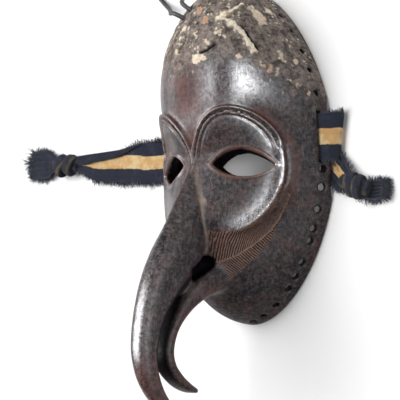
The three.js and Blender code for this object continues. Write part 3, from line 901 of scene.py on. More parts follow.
def make_mask():
    values, low = wood_grid()
    points, quads = surface_net(values, low, GRID_STEP)
    mesh = refine(points, quads)
    points, normals = on_surface(read_points(mesh))
    points = points + normals * relief(points)[:, None]
    write_points(mesh, points)
    piece = new_object("carved_mask", mesh)
    share = MASK_TRIANGLES / len(mesh.polygons)
    if share < 1:
        piece.modifiers.new("lighter", "DECIMATE").ratio = share
        apply_modifiers(piece)
    mesh = piece.data
    mesh.name = "carved_mask"
    points = read_points(mesh)
    flat = np.empty(len(mesh.vertices) * 3)
    mesh.vertices.foreach_get("normal", flat)
    paint_mask(mesh, points, flat.reshape(-1, 3))
    write_points(mesh, in_metres(points))
    mesh.shade_smooth()
    return piece


def seam_share(points, dome, upper):
    """1 along the pale, broken line where the beak rises out of the face."""
    y = points[:, 1]
    broken = smoothstep(rough_noise(points, 4, 3, 95), 0.42, 0.6)
    return bump(np.abs(dome) + np.abs(upper), 1.4) * (y > -84) * smoothstep(y, -8, -26) * (0.4 + 0.6 * broken)


def gap_shade(points, normals, upper, lower):
    """1 on the sides of the beak's two halves that look at each other, where shade is painted dark."""
    x, y, _ = points.T
    inner_lower = smoothstep(LOWER.facing(points, normals), 0.1, 0.5) * bump(lower, 2) * smoothstep(x, 7, 4.5)
    inner_upper = smoothstep(-UPPER.facing(points, normals), 0.1, 0.5) * bump(upper, 2)
    return np.maximum(inner_lower, inner_upper) * smoothstep(y, -78, -86) * smoothstep(y, -178, -160)


def polish_share(points, normals, upper, lower, temple, hatch):
    """How polished the wood is: most on the brows, the beak and the boss's outer rim."""
    x, y, _ = points.T
    far, height, side, _ = boss_place(np.abs(x), y)
    brow = bump(far, 4.5) * (height > -0.3)
    rim = bump(far - BOSS_CREST["at"], 6) * smoothstep(side, -0.2, 0.4) * smoothstep(far, 1.6, 0)
    brow_top = bump(np.abs(x) - 31, 24) * bump(y - 46, 20)
    beak = np.maximum(bump(upper, 2), 0.5 * bump(lower, 2)) * (y < -25)
    beak = beak * (1 - 0.85 * smoothstep(np.abs(normals[:, 0]), 0.35, 0.6))
    left_side = 0.75 * smoothstep(-x, 6, 24) * smoothstep(y, -75, -45) * smoothstep(y, 80, 60)
    bridge = 0.5 * bump(np.hypot(x / 14, (y - 15) / 40), 1)
    polish = np.maximum.reduce([brow, rim, brow_top, beak, left_side, bridge])
    polish = polish * (0.7 + 0.6 * rough_noise(points, 8, 4, 101)) * (1 - 0.6 * hatch) * (1 - 0.8 * temple)
    beyond_boss = smoothstep(far, 0.4, 2) * smoothstep(side, 0.1, 0.5) * bump(far - 3, 9)
    return (0.12 + polish) * (1 - 0.9 * np.maximum(0.8 * temple, beyond_boss))


def paint_mask(mesh, points, normals):
    """Where the wood is worn, reddish, crusted, pale or polished, and where shade is painted dark into its
    hollows.
    """
    x, y, z = points.T
    dome, upper, lower, eye, _ = outside_fields(points)
    outer = wood_side(points)
    carved = 1 - sunk_share((dome, upper, lower)) * outer
    crust, pale, orange, _ = crust_masks(points) * carved
    seam = seam_share(points, dome, upper)
    hatch = hatch_share(points) * outer
    strokes, rib = hatch_wave(points)
    bend = edge_curvature(mesh, points, normals)
    worn = smoothstep(bend, 0.05, 0.35) * (0.4 + 0.6 * noise(points, 6, 81))
    lid = bump(eye - 0.8, 1.7) * (0.1 + 1.3 * rough_noise(points, 2.5, 3, 99))
    temple = np.maximum(bump(x + 3, 17) * bump(y - 42, 24), bump(x, 8) * bump(y - 8, 14))
    far, _, side, _ = boss_place(np.abs(x), y)
    reddish = [
        hatch * (0.7 + 0.5 * smoothstep(rough_noise(points, 12, 2, 97), 0.4, 0.6)),
        temple,
        lid,
        bump(far - 3.2, 2.2) * smoothstep(side, 0.2, 0.6),
        0.5 * bump(lower, 1.5) * (y < -95),
        0.7 * worn,
        0.6 * bump(upper, 2) * smoothstep(y, -130, -165),
    ]
    rubbed_strokes = 0.42 + 0.75 * np.clip(-strokes, 0, 1) + 0.4 * rib
    rubbed = worn * outer + hatch * rubbed_strokes + 0.5 * lid * bump(eye - 0.6, 0.9)
    # Painted shade: the mouth's blind pocket, the walls of the eye holes and of the other cuts, and the gap
    # between the beak's halves are painted dark
    void = smoothstep(mouth_distance(np.abs(x), y, z), 1.4, 0.5)
    walls = np.maximum(void, bump(eye, 1.3) * smoothstep(-dome, 1.2, 3))
    sunk = np.maximum.reduce([1 - carved, 0.95 * gap_shade(points, normals, upper, lower), walls])
    # Painted shade in the grooves of the hatching
    grooves = 0.6 * hatch * np.clip(strokes * 1.3, 0, 1)
    shares = {
        "polish": polish_share(points, normals, upper, lower, temple, hatch).clip(0, 1) * outer * carved,
        "crust": crust,
        "pale": np.maximum(pale, 0.75 * seam),
        "orange": np.maximum(orange, 0.6 * (seam > pale)),
        "worn": rubbed * carved,
        "rust": np.maximum.reduce(reddish) * (0.5 + 0.9 * noise(points, 9, 91)) * outer * carved,
        # Painted shade: dark in concave creases, cracks, the grooves of the hatching, the walls of the cuts,
        # the mouth's pocket and between the beak's halves
        "hollow_shade": smoothstep(-bend, 0.1, 0.45) + crack_depth(points) + grooves + sunk,
        "inside": ~outer * (1 - walls),
    }
    for name, share in shares.items():
        layer = mesh.attributes.new(name, "FLOAT", "POINT")
        layer.data.foreach_set("value", np.clip(share, 0, 1).astype(np.float32))


# Materials
class Nodes:
    """The nodes of one material, with a short way to add each kind."""

    def __init__(self, name):
        self.material = bpy.data.materials.new(name)
        self.material.use_nodes = True
        self.tree = self.material.node_tree
        self.plain = self.place()

    def put(self, socket, value):
        """Sets a socket to a number or a colour, or links it to another node's output."""
        if isinstance(value, bpy.types.NodeSocket):
            self.tree.links.new(value, socket)
        elif socket.type == "RGBA":
            socket.default_value = (*value, 1)
        else:
            socket.default_value = value

    def fill(self, node, inputs):
        for socket, value in inputs.items():
            self.put(node.inputs[socket], value)
        return node

    def surface(self, inputs):
        """Sets what the material's surface is made of, and gives the material."""
        self.fill(self.tree.nodes["Principled BSDF"], inputs)
        return self.material

    def add(self, kind, inputs, **settings):
        node = self.tree.nodes.new(f"ShaderNode{kind}")
        for name, value in settings.items():
            setattr(node, name, value)
        return self.fill(node, inputs)

    def math(self, operation, first, second=0.0):
        return self.add("Math", {0: first, 1: second}, operation=operation).outputs[0]

    def times(self, first, second):
        return self.math("MULTIPLY", first, second)

    def plus(self, first, second):
        return self.math("ADD", first, second)

    def mix_colour(self, share, first, second):
        return self.add("Mix", {0: share, 6: first, 7: second}, data_type="RGBA").outputs[2]

    def mix_number(self, share, first, second):
        return self.add("Mix", {0: share, 2: first, 3: second}, data_type="FLOAT").outputs[0]

    def ranged(self, value, low, high, to_low=0.0, to_high=1.0):
        """Turns a number smoothly from one range into another."""
        inputs = {"Value": value, "From Min": low, "From Max": high, "To Min": to_low, "To Max": to_high}
        return self.add("MapRange", inputs, interpolation_type="SMOOTHSTEP").outputs[0]

    def share(self, name):
        """A number that the mesh keeps on its points."""
        return self.add("Attribute", {}, attribute_name=name).outputs["Fac"]

    def place(self, scale=(1, 1, 1), turn=(0, 0, 0)):
        place = self.add("TexCoord", {}).outputs["Object"]
        return self.add("Mapping", {"Vector": place, "Scale": scale, "Rotation": turn}).outputs[0]

    def noise(self, size_mm, detail=4.0, roughness=0.55, distortion=0.0, place=None):
        inputs = {"Scale": 1 / (size_mm * MM), "Detail": detail, "Roughness": roughness}
        inputs["Distortion"] = distortion
        inputs["Vector"] = self.plain if place is None else place
        return self.add("TexNoise", inputs).outputs["Fac"]

    def bump(self, height, distance_mm):
        return self.add("Bump", {"Height": height, "Distance": distance_mm * MM, "Strength": 1.0}).outputs[0]


WOOD = {
    "black": (0.0055, 0.0045, 0.0075),
    "brown": (0.040, 0.022, 0.021),
    "grey": (0.118, 0.100, 0.116),
    "rust": (0.128, 0.043, 0.030),
    "worn": (0.300, 0.185, 0.140),
    "crust": (0.290, 0.235, 0.200),
    "crust_dark": (0.040, 0.030, 0.026),
    "cream": (0.92, 0.81, 0.64),
    "ochre": (0.56, 0.27, 0.14),
    "inside": (0.022, 0.015, 0.012),
}
# Noises in the wood: size in millimetres, detail, roughness and distortion
WOOD_NOISES = {
    "broad": (26, 5, 0.6),
    "patches": (15, 6, 0.7, 0.6),
    "mottle": (6, 8, 0.75),
    "speckle": (2.6, 6, 0.8),
    "fine": (1.5, 6, 0.75),
}
# Streaks run along the mask, and scratches nearly so
STREAKS = {"noise": (1.8, 6, 0.7, 0.4), "scale": (1, 0.16, 1)}
SCRATCHES = {"noise": (0.9, 4, 0.6, 0.0), "scale": (1, 0.07, 1), "turn": (0.3, 0.2, 0.5)}
# Colours laid over the bare wood and over the crust: a noise, the range that brings the colour in, how
# much of it, from dull to polished where that differs, and which colour
WOOD_LAYERS = [
    ("patches", (0.5, 0.62), 0.38, "rust"),
    ("mottle", (0.46, 0.66), (0.35, 0.7), "grey"),
    ("speckle", (0.51, 0.62), 0.5, "grey"),
    ("streaks", (0.52, 0.7), 0.4, "worn"),
    ("scratches", (0.6, 0.7), 0.3, "worn"),
    ("speckle", (0.49, 0.4), 0.7, "black"),
    ("mottle", (0.48, 0.36), 0.6, "black"),
]
CRUST_LAYERS = [
    ("mottle", (0.38, 0.62), 1.0, "crust"),
    ("speckle", (0.5, 0.62), 0.5, "crust"),
    ("speckle", (0.47, 0.36), 0.8, "crust_dark"),
]


def wood_material():
    nodes = Nodes("wood")
    noises = {name: nodes.noise(*numbers) for name, numbers in WOOD_NOISES.items()}
    noises["streaks"] = nodes.noise(*STREAKS["noise"], nodes.place(STREAKS["scale"]))
    noises["scratches"] = nodes.noise(*SCRATCHES["noise"], nodes.place(SCRATCHES["scale"], SCRATCHES["turn"]))
    mottle, speckle, fine = (noises[name] for name in ("mottle", "speckle", "fine"))
    shares = "polish", "rust", "worn", "crust", "pale", "orange", "hollow_shade", "inside"
    polish, rust, worn, crust, pale, orange, hollow_shade, inside = (nodes.share(name) for name in shares)

    def over(colour, share, amount, other):
        return nodes.mix_colour(nodes.times(share, amount), colour, WOOD[other])

    def layered(colour, layers):
        for name, limits, amount, other in layers:
            if isinstance(amount, tuple):
                amount = nodes.mix_number(polish, *amount)
            colour = over(colour, nodes.ranged(noises[name], *limits), amount, other)
        return colour

    bare = nodes.mix_colour(nodes.ranged(noises["broad"], 0.35, 0.65), WOOD["black"], WOOD["brown"])
    colour = layered(bare, WOOD_LAYERS)
    colour = over(colour, nodes.times(rust, nodes.ranged(mottle, 0.34, 0.56, 0.25, 1.0)), 0.85, "rust")
    colour = over(colour, nodes.times(worn, nodes.ranged(fine, 0.35, 0.6, 0.3, 1.0)), 0.9, "worn")
    colour = over(colour, inside, 1.0, "inside")
    colour = nodes.mix_colour(crust, colour, layered(WOOD["crust_dark"], CRUST_LAYERS))
    pale = nodes.times(pale, nodes.ranged(fine, 0.34, 0.5, 0.4, 1.0))
    colour = nodes.mix_colour(pale, colour, nodes.mix_colour(orange, WOOD["cream"], WOOD["ochre"]))
    # Painted shade: nearly black over the creases, cracks, hatch grooves, cut walls and the gap between the
    # beak's halves
    colour = over(colour, hollow_shade, 0.93, "black")
    matt = nodes.math("MAXIMUM", crust, nodes.math("MAXIMUM", pale, inside))
    gloss = nodes.plus(nodes.mix_number(polish, 0.6, 0.25), nodes.ranged(fine, 0.3, 0.7, -0.05, 0.15))
    clean = nodes.math("SUBTRACT", 1.0, hollow_shade)
    broken = nodes.times(nodes.ranged(speckle, 0.34, 0.56, 0.45, 1.0), clean)
    shine = nodes.times(nodes.mix_number(polish, 0.08, 1.0), broken)
    marks = nodes.plus(nodes.times(noises["scratches"], 0.4), nodes.times(noises["streaks"], 0.4))
    return nodes.surface({
        "Base Color": colour,
        "Roughness": nodes.mix_number(matt, gloss, 0.86),
        "Specular IOR Level": nodes.mix_number(matt, shine, nodes.times(clean, 0.22)),
        "Normal": nodes.bump(nodes.plus(nodes.times(speckle, 0.8), marks), 0.13),
    })


# Cloth ties: woven navy cotton with an ochre stripe down the middle
CLOTH = {"width": 33, "thickness": 1.0, "y": 8, "stripe": 0.34, "thread": 1.1}
HALF_CLOTH = CLOTH["width"] / 2
STRIPE_EDGE = HALF_CLOTH * CLOTH["stripe"]
NAVY = (0.006, 0.009, 0.026)
NAVY_PALE = (0.030, 0.036, 0.060)
# The knots take a copy of the cloth whose stripe is darker and browner
STRIPES = {
    "striped_cloth": ((0.80, 0.46, 0.17), (0.94, 0.70, 0.37)),
    "dark_stripe_cloth": ((0.045, 0.040, 0.030), (0.19, 0.125, 0.060)),
}
CORD_COLOURS = ((0.008, 0.008, 0.010), (0.030, 0.030, 0.036))


def cloth_material(name):
    """The stripe and the weave follow the cloth's own places: across in U, along in V, in millimetres."""
    nodes = Nodes(name)
    place = nodes.add("UVMap", {}, uv_map="cloth").outputs[0]
    across, along, _ = nodes.add("SeparateXYZ", {0: place}).outputs
    saw = nodes.times(nodes.math("SUBTRACT", nodes.noise(2.2, 3, 0.7), 0.5), 2.6)
    far = nodes.plus(nodes.math("ABSOLUTE", across), saw)
    worn = nodes.noise(7, 4, 0.6)
    navy = nodes.mix_colour(nodes.ranged(worn, 0.5, 0.78), NAVY, NAVY_PALE)
    ochre = nodes.mix_colour(nodes.ranged(worn, 0.35, 0.65), *STRIPES[name])
    colour = nodes.mix_colour(nodes.ranged(far, STRIPE_EDGE + 0.3, STRIPE_EDGE - 0.3), navy, ochre)
    threads = [nodes.math("SINE", nodes.times(way, 2 * math.pi / CLOTH["thread"])) for way in (across, along)]
    weave = nodes.times(*threads)
    return nodes.surface({
        "Base Color": nodes.mix_colour(nodes.ranged(weave, -1, 1, 0.0, 0.35), colour, NAVY),
        "Roughness": 0.95,
        "Sheen Weight": 0.08,
        "Sheen Roughness": 0.5,
        "Specular IOR Level": 0.2,
        "Normal": nodes.bump(nodes.plus(nodes.times(weave, 0.5), nodes.noise(0.7, 3, 0.7)), 0.35),
    })


def thread_material():
    nodes = Nodes("loose_threads")
    colour = nodes.mix_colour(nodes.ranged(nodes.noise(3), 0.4, 0.7), NAVY, NAVY_PALE)
    return nodes.surface({"Base Color": colour, "Roughness": 0.95})


def cord_material():
    nodes = Nodes("dark_cord")
    worn = nodes.noise(3, 5, 0.65)
    return nodes.surface({
        "Base Color": nodes.mix_colour(nodes.ranged(worn, 0.42, 0.7), *CORD_COLOURS),
        "Roughness": nodes.ranged(worn, 0.3, 0.7, 0.45, 0.75),
        "Normal": nodes.bump(nodes.noise(0.8, 4, 0.6), 0.3),
    })


# Cord
def register(piece, node=None):
    """Hides the CAD node that a piece stands for, if one is given, and puts the piece on the root body."""
    if node:
        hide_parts(node)
    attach(piece, "root")


def smooth_piece(name, points, faces, material):
    """A smooth mesh from places in millimetres."""
    mesh = bpy.data.meshes.new(name)
    mesh.from_pydata(in_metres(points).tolist(), [], faces)
    mesh.materials.append(material)
    mesh.shade_smooth()
    return new_object(name, mesh)


def tube_faces(rings, sides, closed=False, start=0):
    """Faces of a tube from rings of points, with a cap at each end unless it closes on itself."""
    faces = []
    for k in range(rings if closed else rings - 1):
        ring, after = start + k * sides, start + (k + 1) % rings * sides
        for i in range(sides):
            near = (i + 1) % sides
            faces.append((ring + i, ring + near, after + near, after + i))
    if not closed:
        faces.append(tuple(start + i for i in range(sides))[::-1])
        faces.append(tuple(start + (rings - 1) * sides + i for i in range(sides)))
    return faces


def sweep(line, section_of, sides, closed=False):
    """Vertices and faces of a tube along a line, and each vertex's place round and along."""
    line = np.asarray(line, float)
    ahead = np.roll(line, -1, 0) - np.roll(line, 1, 0) if closed else np.gradient(line, axis=0)
    ahead /= np.linalg.norm(ahead, axis=1)[:, None]
    across = np.cross(ahead[0], (0, 0, 1))
    if np.linalg.norm(across) < 0.1:
        across = np.cross(ahead[0], (0, 1, 0))
    across /= np.linalg.norm(across)
    points, places = [], []
    for k, (middle, way, run) in enumerate(zip(line, ahead, run_along(line))):
        across = across - way * (across @ way)
        across /= np.linalg.norm(across)
        up = np.cross(way, across)
        for i in range(sides):
            wide, high = section_of(k / (len(line) - 1), 2 * math.pi * i / sides)
            points.append(middle + across * wide + up * high)
            places.append((i / sides, run))
    return points, tube_faces(len(line), sides, closed), places


STOPPER_SIZE = 0.62 * CORD_DIAMETER
ROUTE_STEPS = 6


def make_stopper(end, name, material):
    """The small overhand knot that keeps the cord from pulling out of its hole, inside the shell."""
    turns = np.linspace(0, 2 * math.pi, 60, endpoint=False)
    across = np.sin(turns) + 2 * np.sin(2 * turns)
    along = np.cos(turns) - 2 * np.cos(2 * turns)
    loop = np.stack([across, along, -np.sin(3 * turns)], 1) * STOPPER_SIZE
    radius = CORD_DIAMETER / 2

    def section(_, turn):
        return radius * math.cos(turn), radius * math.sin(turn)

    points, faces, _ = sweep(loop + end, section, 10, closed=True)
    knot = smooth_piece(f"cord_knot_{name}", points, faces, material)
    register(knot)
    return knot


def make_cord(material):
    line = smooth_line(CORD_ROUTE, ROUTE_STEPS)
    data = bpy.data.curves.new("cord_loop", "CURVE")
    data.dimensions = "3D"
    data.bevel_depth = CORD_DIAMETER / 2 * MM
    data.bevel_resolution = 3
    data.use_fill_caps = True
    spline = data.splines.new("POLY")
    spline.points.add(len(line) - 1)
    for point, place in zip(spline.points, in_metres(line)):
        point.co = (*place, 1)
    data.materials.append(material)
    cord = new_object("cord_loop", data)
    ends = (CORD_ROUTE[0], "first"), (CORD_ROUTE[-1], "second")
    knots = [make_stopper(end, name, material) for end, name in ends]
    register(cord, "hanging_cord")


# Flat runs of the straps on the floor. Each station has the places (x, y) of the cloth's two edges
# and its fold line: cloth beyond the fold lies back on top, measured in millimetres across the cloth.
LEFT_TAIL = [
    ((-60, -10), (-60, 20), 16.5),
    ((-90, -10.3), (-90, 19), 16.5),
    ((-111, -9.6), (-111, 19.8), 16.3),
    ((-123, -8.6), (-123, 19), 13.5),
    ((-134, -7.6), (-134, 17.4), 10.9),
    ((-148, -6.6), (-148, 16.6), 9.6),
    ((-160, -4.6), (-161, 16.2), 8.4),
    ((-169, -0.5), (-170, 15.8), 6.2),
    ((-178, 4), (-179, 15), 5.6),
    ((-187, 6.5), (-187, 13.8), 5.6),
]
LEFT_END = [
    ((-196, 7.5), (-196, 15), 16.5),
    ((-203, 8.6), (-203, 14.6), 16.5),
    ((-211, 4.0), (-211, 19.4), 16.5),
    ((-221, 1.8), (-220, 23.4), 16.5),
    ((-233, 2.8), (-230, 23), 16.5),
]
RIGHT_TAIL = [
    ((64, -17), (65, 14), 16.5),
    ((71, -22), (75, 5), 16.5),
    ((77.5, -26.8), (83.5, -6.5), 16.5),
    ((84, -29), (90, -14), 16.5),
    ((91, -31), (95.5, -21), 16.5),
]
RIGHT_END = [
    ((101, -34.5), (102, -26.5), 16.5),
    ((106, -36.8), (107, -26.8), 16.5),
    ((112, -38.4), (113, -25.6), 16.5),
    ((119, -37.6), (120, -26), 16.5),
]
TAIL_HEIGHT = {"under": 0.8, "upper": 2.4, "end": 2.7, "knot": 5.0, "fold": 1.9, "lowest": 0.75}
PLEATS = {"height": 1.5, "per_mm": 0.95, "drift": 0.04, "deepest": -0.25}
WAVES = {"height": 0.55, "size": 11, "middle": 0.35}
TAIL_COLUMNS, TAIL_STEPS = 56, 14
LOOP_COLUMNS, LOOP_STEPS = 40, 9
# The band through the slot and round the edge, seen along the mask, as x and z
LOOP = [
    (66, 11), (72, 11), (78, 9.8), (83, 6.8), (84.5, 3.6), (81, 1.6),
    (74, 1.4), (66, 1.4), (60, 2.4), (57.5, 6.2), (60, 9.8),
]
LOOP_FLARE = {"from_x": 70, "to_x": 82, "low": -2.6, "high": 1.6, "dents_from_x": 73}
LOOP_FRAYED = slice(9, 54)
# Knots: middle, reach across and up, and the wrapped bands as place along, lean in degrees and half width
LEFT_KNOT = {
    "middle": (-191, 9.6, 7), "reach": (6.6, 4.6), "along": (-1, 0.05),
    "bands": [(-5.5, 24, 4.6), (4.5, 42, 5.4)],
}
RIGHT_KNOT = {
    "middle": (98, -28, 6.6), "reach": (6.8, 4.4), "along": (1, -0.35),
    "bands": [(-2.5, -28, 4.6), (4.0, -14, 3.8)],
}
KNOT_CORE = {"half_length": 13, "across": 0.72, "up": 0.8, "pleats": 7, "droop": 0.05}
KNOT_BAND = {"half_height": 2.1, "pleats": 5}
# Threads: spacing and length along the sides, the cut ends and the loop's sides
FRAYS = {"side": (0.38, 4.6), "end": (0.14, 8.5), "loop": (0.32, 4.2)}
THREAD = {"radius": 0.34, "sides": 4, "rings": 5, "bend": 0.35, "rooted": 0.6}
# Each strap: its side, its cut length, the runs before and after its knot, and where its random numbers start
STRAPS = {
    "right_strap": (1, 200, RIGHT_TAIL, RIGHT_END, RIGHT_KNOT, 11),
    "left_strap": (-1, 440, LEFT_TAIL, LEFT_END, LEFT_KNOT, 12),
}


def cloth_piece(name, points, places, faces, thickness, material):
    """A piece of cloth from a sheet of points, which keeps each point's place on the cloth."""
    piece = smooth_piece(name, points, faces, material)
    layer = piece.data.uv_layers.new(name="cloth")
    corners = np.empty(len(piece.data.loops), np.int64)
    piece.data.loops.foreach_get("vertex_index", corners)
    layer.data.foreach_set("uv", np.asarray(places, np.float32)[corners].ravel())
    if thickness:
        thicker = piece.modifiers.new("thickness", "SOLIDIFY")
        thicker.thickness, thicker.offset = thickness * MM, 0
        apply_modifiers(piece)
    return piece


def grid_faces(rows, columns, closed=False):
    turns = rows if closed else rows - 1
    return [
        (a * columns + i, a * columns + i + 1, (a + 1) % rows * columns + i + 1, (a + 1) % rows * columns + i)
        for a in range(turns)
        for i in range(columns - 1)
    ]


def tail_points(stations, height, rise_ends, seed, ragged_end=0.0):
    """A run of cloth on the floor: it narrows by folding over and by gathering in pleats."""
    low = smooth_line([s[0] for s in stations], TAIL_STEPS)
    high = smooth_line([s[1] for s in stations], TAIL_STEPS)
    fold = np.interp(np.arange(len(low)) / TAIL_STEPS, np.arange(len(stations)), [s[2] for s in stations])
    run = run_along((low + high) / 2)
    cloth = np.linspace(-HALF_CLOTH, HALF_CLOTH, TAIL_COLUMNS)
    flat_share = (cloth + HALF_CLOTH) / (2 * HALF_CLOTH)
    cut_back = ragged_end * np.random.default_rng(seed).random(TAIL_COLUMNS)
    ahead = (low[-1] + high[-1] - low[-2] - high[-2]) / 2
    ahead /= np.linalg.norm(ahead)
    points, places = [], []
    for k, along in enumerate(run):
        across = fold[k] + HALF_CLOTH
        beyond = cloth - fold[k]
        folded = fold[k] < HALF_CLOTH - 0.3
        share = 1 - (np.sqrt(beyond**2 + 0.5) - 0.7) / across if folded else flat_share
        plan = low[k] + share[:, None] * (high[k] - low[k])
        ends = np.interp(along / run[-1], [0, 0.55, 1], [rise_ends[0], 0, rise_ends[1]])
        gathered = 1 - np.linalg.norm(high[k] - low[k]) / across
        ripple = np.cos(cloth * PLEATS["per_mm"] + PLEATS["drift"] * along + seed)
        pleats = np.maximum(gathered * PLEATS["height"] * ripple, PLEATS["deepest"])
        rough = noise(np.column_stack([plan, 0 * cloth]), WAVES["size"], seed)
        z = height + TAIL_HEIGHT["fold"] * smoothstep(beyond, -0.4, 1.4) * folded
        z = z + WAVES["height"] * (rough - WAVES["middle"])
        z = z + ends * smoothstep(np.abs(ends), 0, 1) + pleats
        plan = plan - (cut_back * smoothstep(along / run[-1], 0.5, 1))[:, None] * ahead
        points.append(np.column_stack([plan, np.maximum(z, TAIL_HEIGHT["lowest"])]))
        places.append(np.column_stack([cloth, np.full(TAIL_COLUMNS, along)]))
    return np.vstack(points), np.vstack(places), grid_faces(len(run), TAIL_COLUMNS)


def loop_points(side):
    """The band of cloth through the slot and round the edge, which flares towards the crown."""
    ring = smooth_line([*LOOP, LOOP[0]], LOOP_STEPS)[:-1]
    cloth = np.linspace(-HALF_CLOTH, HALF_CLOTH, LOOP_COLUMNS)
    share = (cloth + HALF_CLOTH) / (2 * HALF_CLOTH)
    flare = LOOP_FLARE["low"] + (LOOP_FLARE["high"] - LOOP_FLARE["low"]) * share
    points, places = [], []
    run = 0.0
    for k, (x, z) in enumerate(ring):
        run += math.dist(ring[k], ring[k - 1])
        out = flare * smoothstep(x, LOOP_FLARE["from_x"], LOOP_FLARE["to_x"])
        around = np.full(LOOP_COLUMNS, k * 1.2)
        dents = 0.5 * (noise(np.column_stack([cloth, around, 0 * cloth]), 9, 5) - 0.5)
        across = side * (x + out + dents * (x > LOOP_FLARE["dents_from_x"]))
        points.append(np.column_stack([across, CLOTH["y"] + cloth, np.full(LOOP_COLUMNS, z)]))
        places.append(np.column_stack([cloth, np.full(LOOP_COLUMNS, run)]))
    return np.vstack(points), np.vstack(places), grid_faces(len(ring), LOOP_COLUMNS, closed=True)


def pleated(half_wide, half_high, pleats, seed):
    """The section of a bunch of cloth: an oval with pleats along it."""

    def section(at, turn):
        ripple = 1 + 0.09 * math.cos(pleats * turn + seed + 5 * at) + 0.05 * math.cos(3 * turn + 9 * at)
        return half_wide * ripple * math.cos(turn), half_high * ripple * math.sin(turn)

    return section


def joined(parts):
    """One list of points, places and faces from the lists of several parts."""
    faces = []
    start = 0
    for part_points, _, part_faces in parts:
        faces += [tuple(start + i for i in face) for face in part_faces]
        start += len(part_points)
    points, places, _ = zip(*parts)
    return np.vstack(points), np.vstack(places), faces


def make_knot(name, knot, material):
    """A soft knot: a gathered core with pleated bands wrapped across it."""
    middle = np.array(knot["middle"], float)
    along = np.array([*knot["along"], 0]) / math.hypot(*knot["along"])
    across = np.array([-along[1], along[0], 0])
    reach_across, reach_up = knot["reach"]
    steps = np.linspace(-KNOT_CORE["half_length"], KNOT_CORE["half_length"], 15)
    core = [middle + along * step - (0, 0, KNOT_CORE["droop"] * abs(step)) for step in steps]
    core_sizes = reach_across * KNOT_CORE["across"], reach_up * KNOT_CORE["up"]
    tubes = [sweep(core, pleated(*core_sizes, KNOT_CORE["pleats"], 1), 36)]
    for place, lean, half_width in knot["bands"]:
        turn = math.radians(lean)
        centre = middle + along * place
        leaning = (across * math.cos(turn) + along * math.sin(turn)) * reach_across
        ring = [
            centre + leaning * math.cos(t) + np.array([0, 0, reach_up * math.sin(t)])
            for t in np.linspace(math.pi / 2, 2.5 * math.pi, 40, endpoint=False)
        ]
        section = pleated(half_width, KNOT_BAND["half_height"], KNOT_BAND["pleats"], place)
        tubes.append(sweep(ring, section, 24, closed=True))
    parts = []
    for tube_points, faces, round_and_along in tubes:
        around, run = np.transpose(round_and_along)
        on_cloth = HALF_CLOTH * np.cos(2 * math.pi * (around - 0.11))
        parts.append((tube_points, np.column_stack([on_cloth, run]), faces))
    points, places, faces = joined(parts)
    points += 0.7 * (noise(points, 5, 7) - 0.5)[:, None] * (0.3, 0.3, 1)
    points[:, 2] = np.maximum(points[:, 2], 0.3)
    return cloth_piece(name, points, places, faces, 0, material)


def thread_piece(name, roots, directions, lengths, rng, material):
    """Short loose threads, each a thin tapering bent tube."""
    radius, sides, rings = THREAD["radius"], THREAD["sides"], THREAD["rings"]
    points, faces = [], []
    for root, way, length in zip(roots, directions, lengths):
        way = np.asarray(way, float) / np.linalg.norm(way)
        bend = rng.normal(0, THREAD["bend"], 3)
        place = np.array(root, float) - way * THREAD["rooted"]
        faces += tube_faces(rings, sides, start=len(points))
        for k in range(rings):
            place = place + (0, 0, max(place[2], radius + 0.1) - place[2])
            side = np.cross(way, (0, 0, 1))
            side /= max(np.linalg.norm(side), 1e-6)
            up = np.cross(side, way)
            thick = radius * (1 - 0.6 * k / (rings - 1))
            for i in range(sides):
                turn = 2 * math.pi * i / sides
                points.append(place + thick * (math.cos(turn) * side + math.sin(turn) * up))
            way = way + bend / rings
            way /= np.linalg.norm(way)
            place = place + way * length / (rings - 1)
    return smooth_piece(name, points, faces, material)


def fringe_along(edge, outward, spacing, length, rng):
    """Roots, directions and lengths of threads along a frayed edge."""
    edge = np.asarray(edge, float)
    run = run_along(edge)
    places = np.arange(0, run[-1], spacing)
    places = places + rng.uniform(0, spacing, len(places))
    roots = np.column_stack([np.interp(places, run, edge[:, i]) for i in range(3)])
    ways = np.asarray(outward, float) + rng.normal(0, 0.32, (len(places), 3))
    clumps = 0.55 + 0.9 * noise(roots, 3.5, 9)
    return roots, ways, length * clumps * rng.uniform(0.45, 1.2, len(places))


def strap_frays(runs, side, rng):
    """Where the threads stand, along both sides of every run and across the two cut ends."""
    loop, *tails = (points.reshape(-1, columns, 3) for points, columns in runs)
    edges = []
    for tail in tails:
        edges += [(tail[:, 0], (0, -1, 0), "side"), (tail[:, -1], (0, 1, 0.1), "side")]
    edges += [(tail[-1], (side, 0.1, 0.1), "end") for tail in tails[2:]]
    edges += [(loop[LOOP_FRAYED, 0], (0, -1, 0), "loop"), (loop[LOOP_FRAYED, -1], (0, 1, 0.25), "loop")]
    batches = [fringe_along(edge, way, *FRAYS[kind], rng) for edge, way, kind in edges]
    return [np.concatenate(parts) for parts in zip(*batches)]


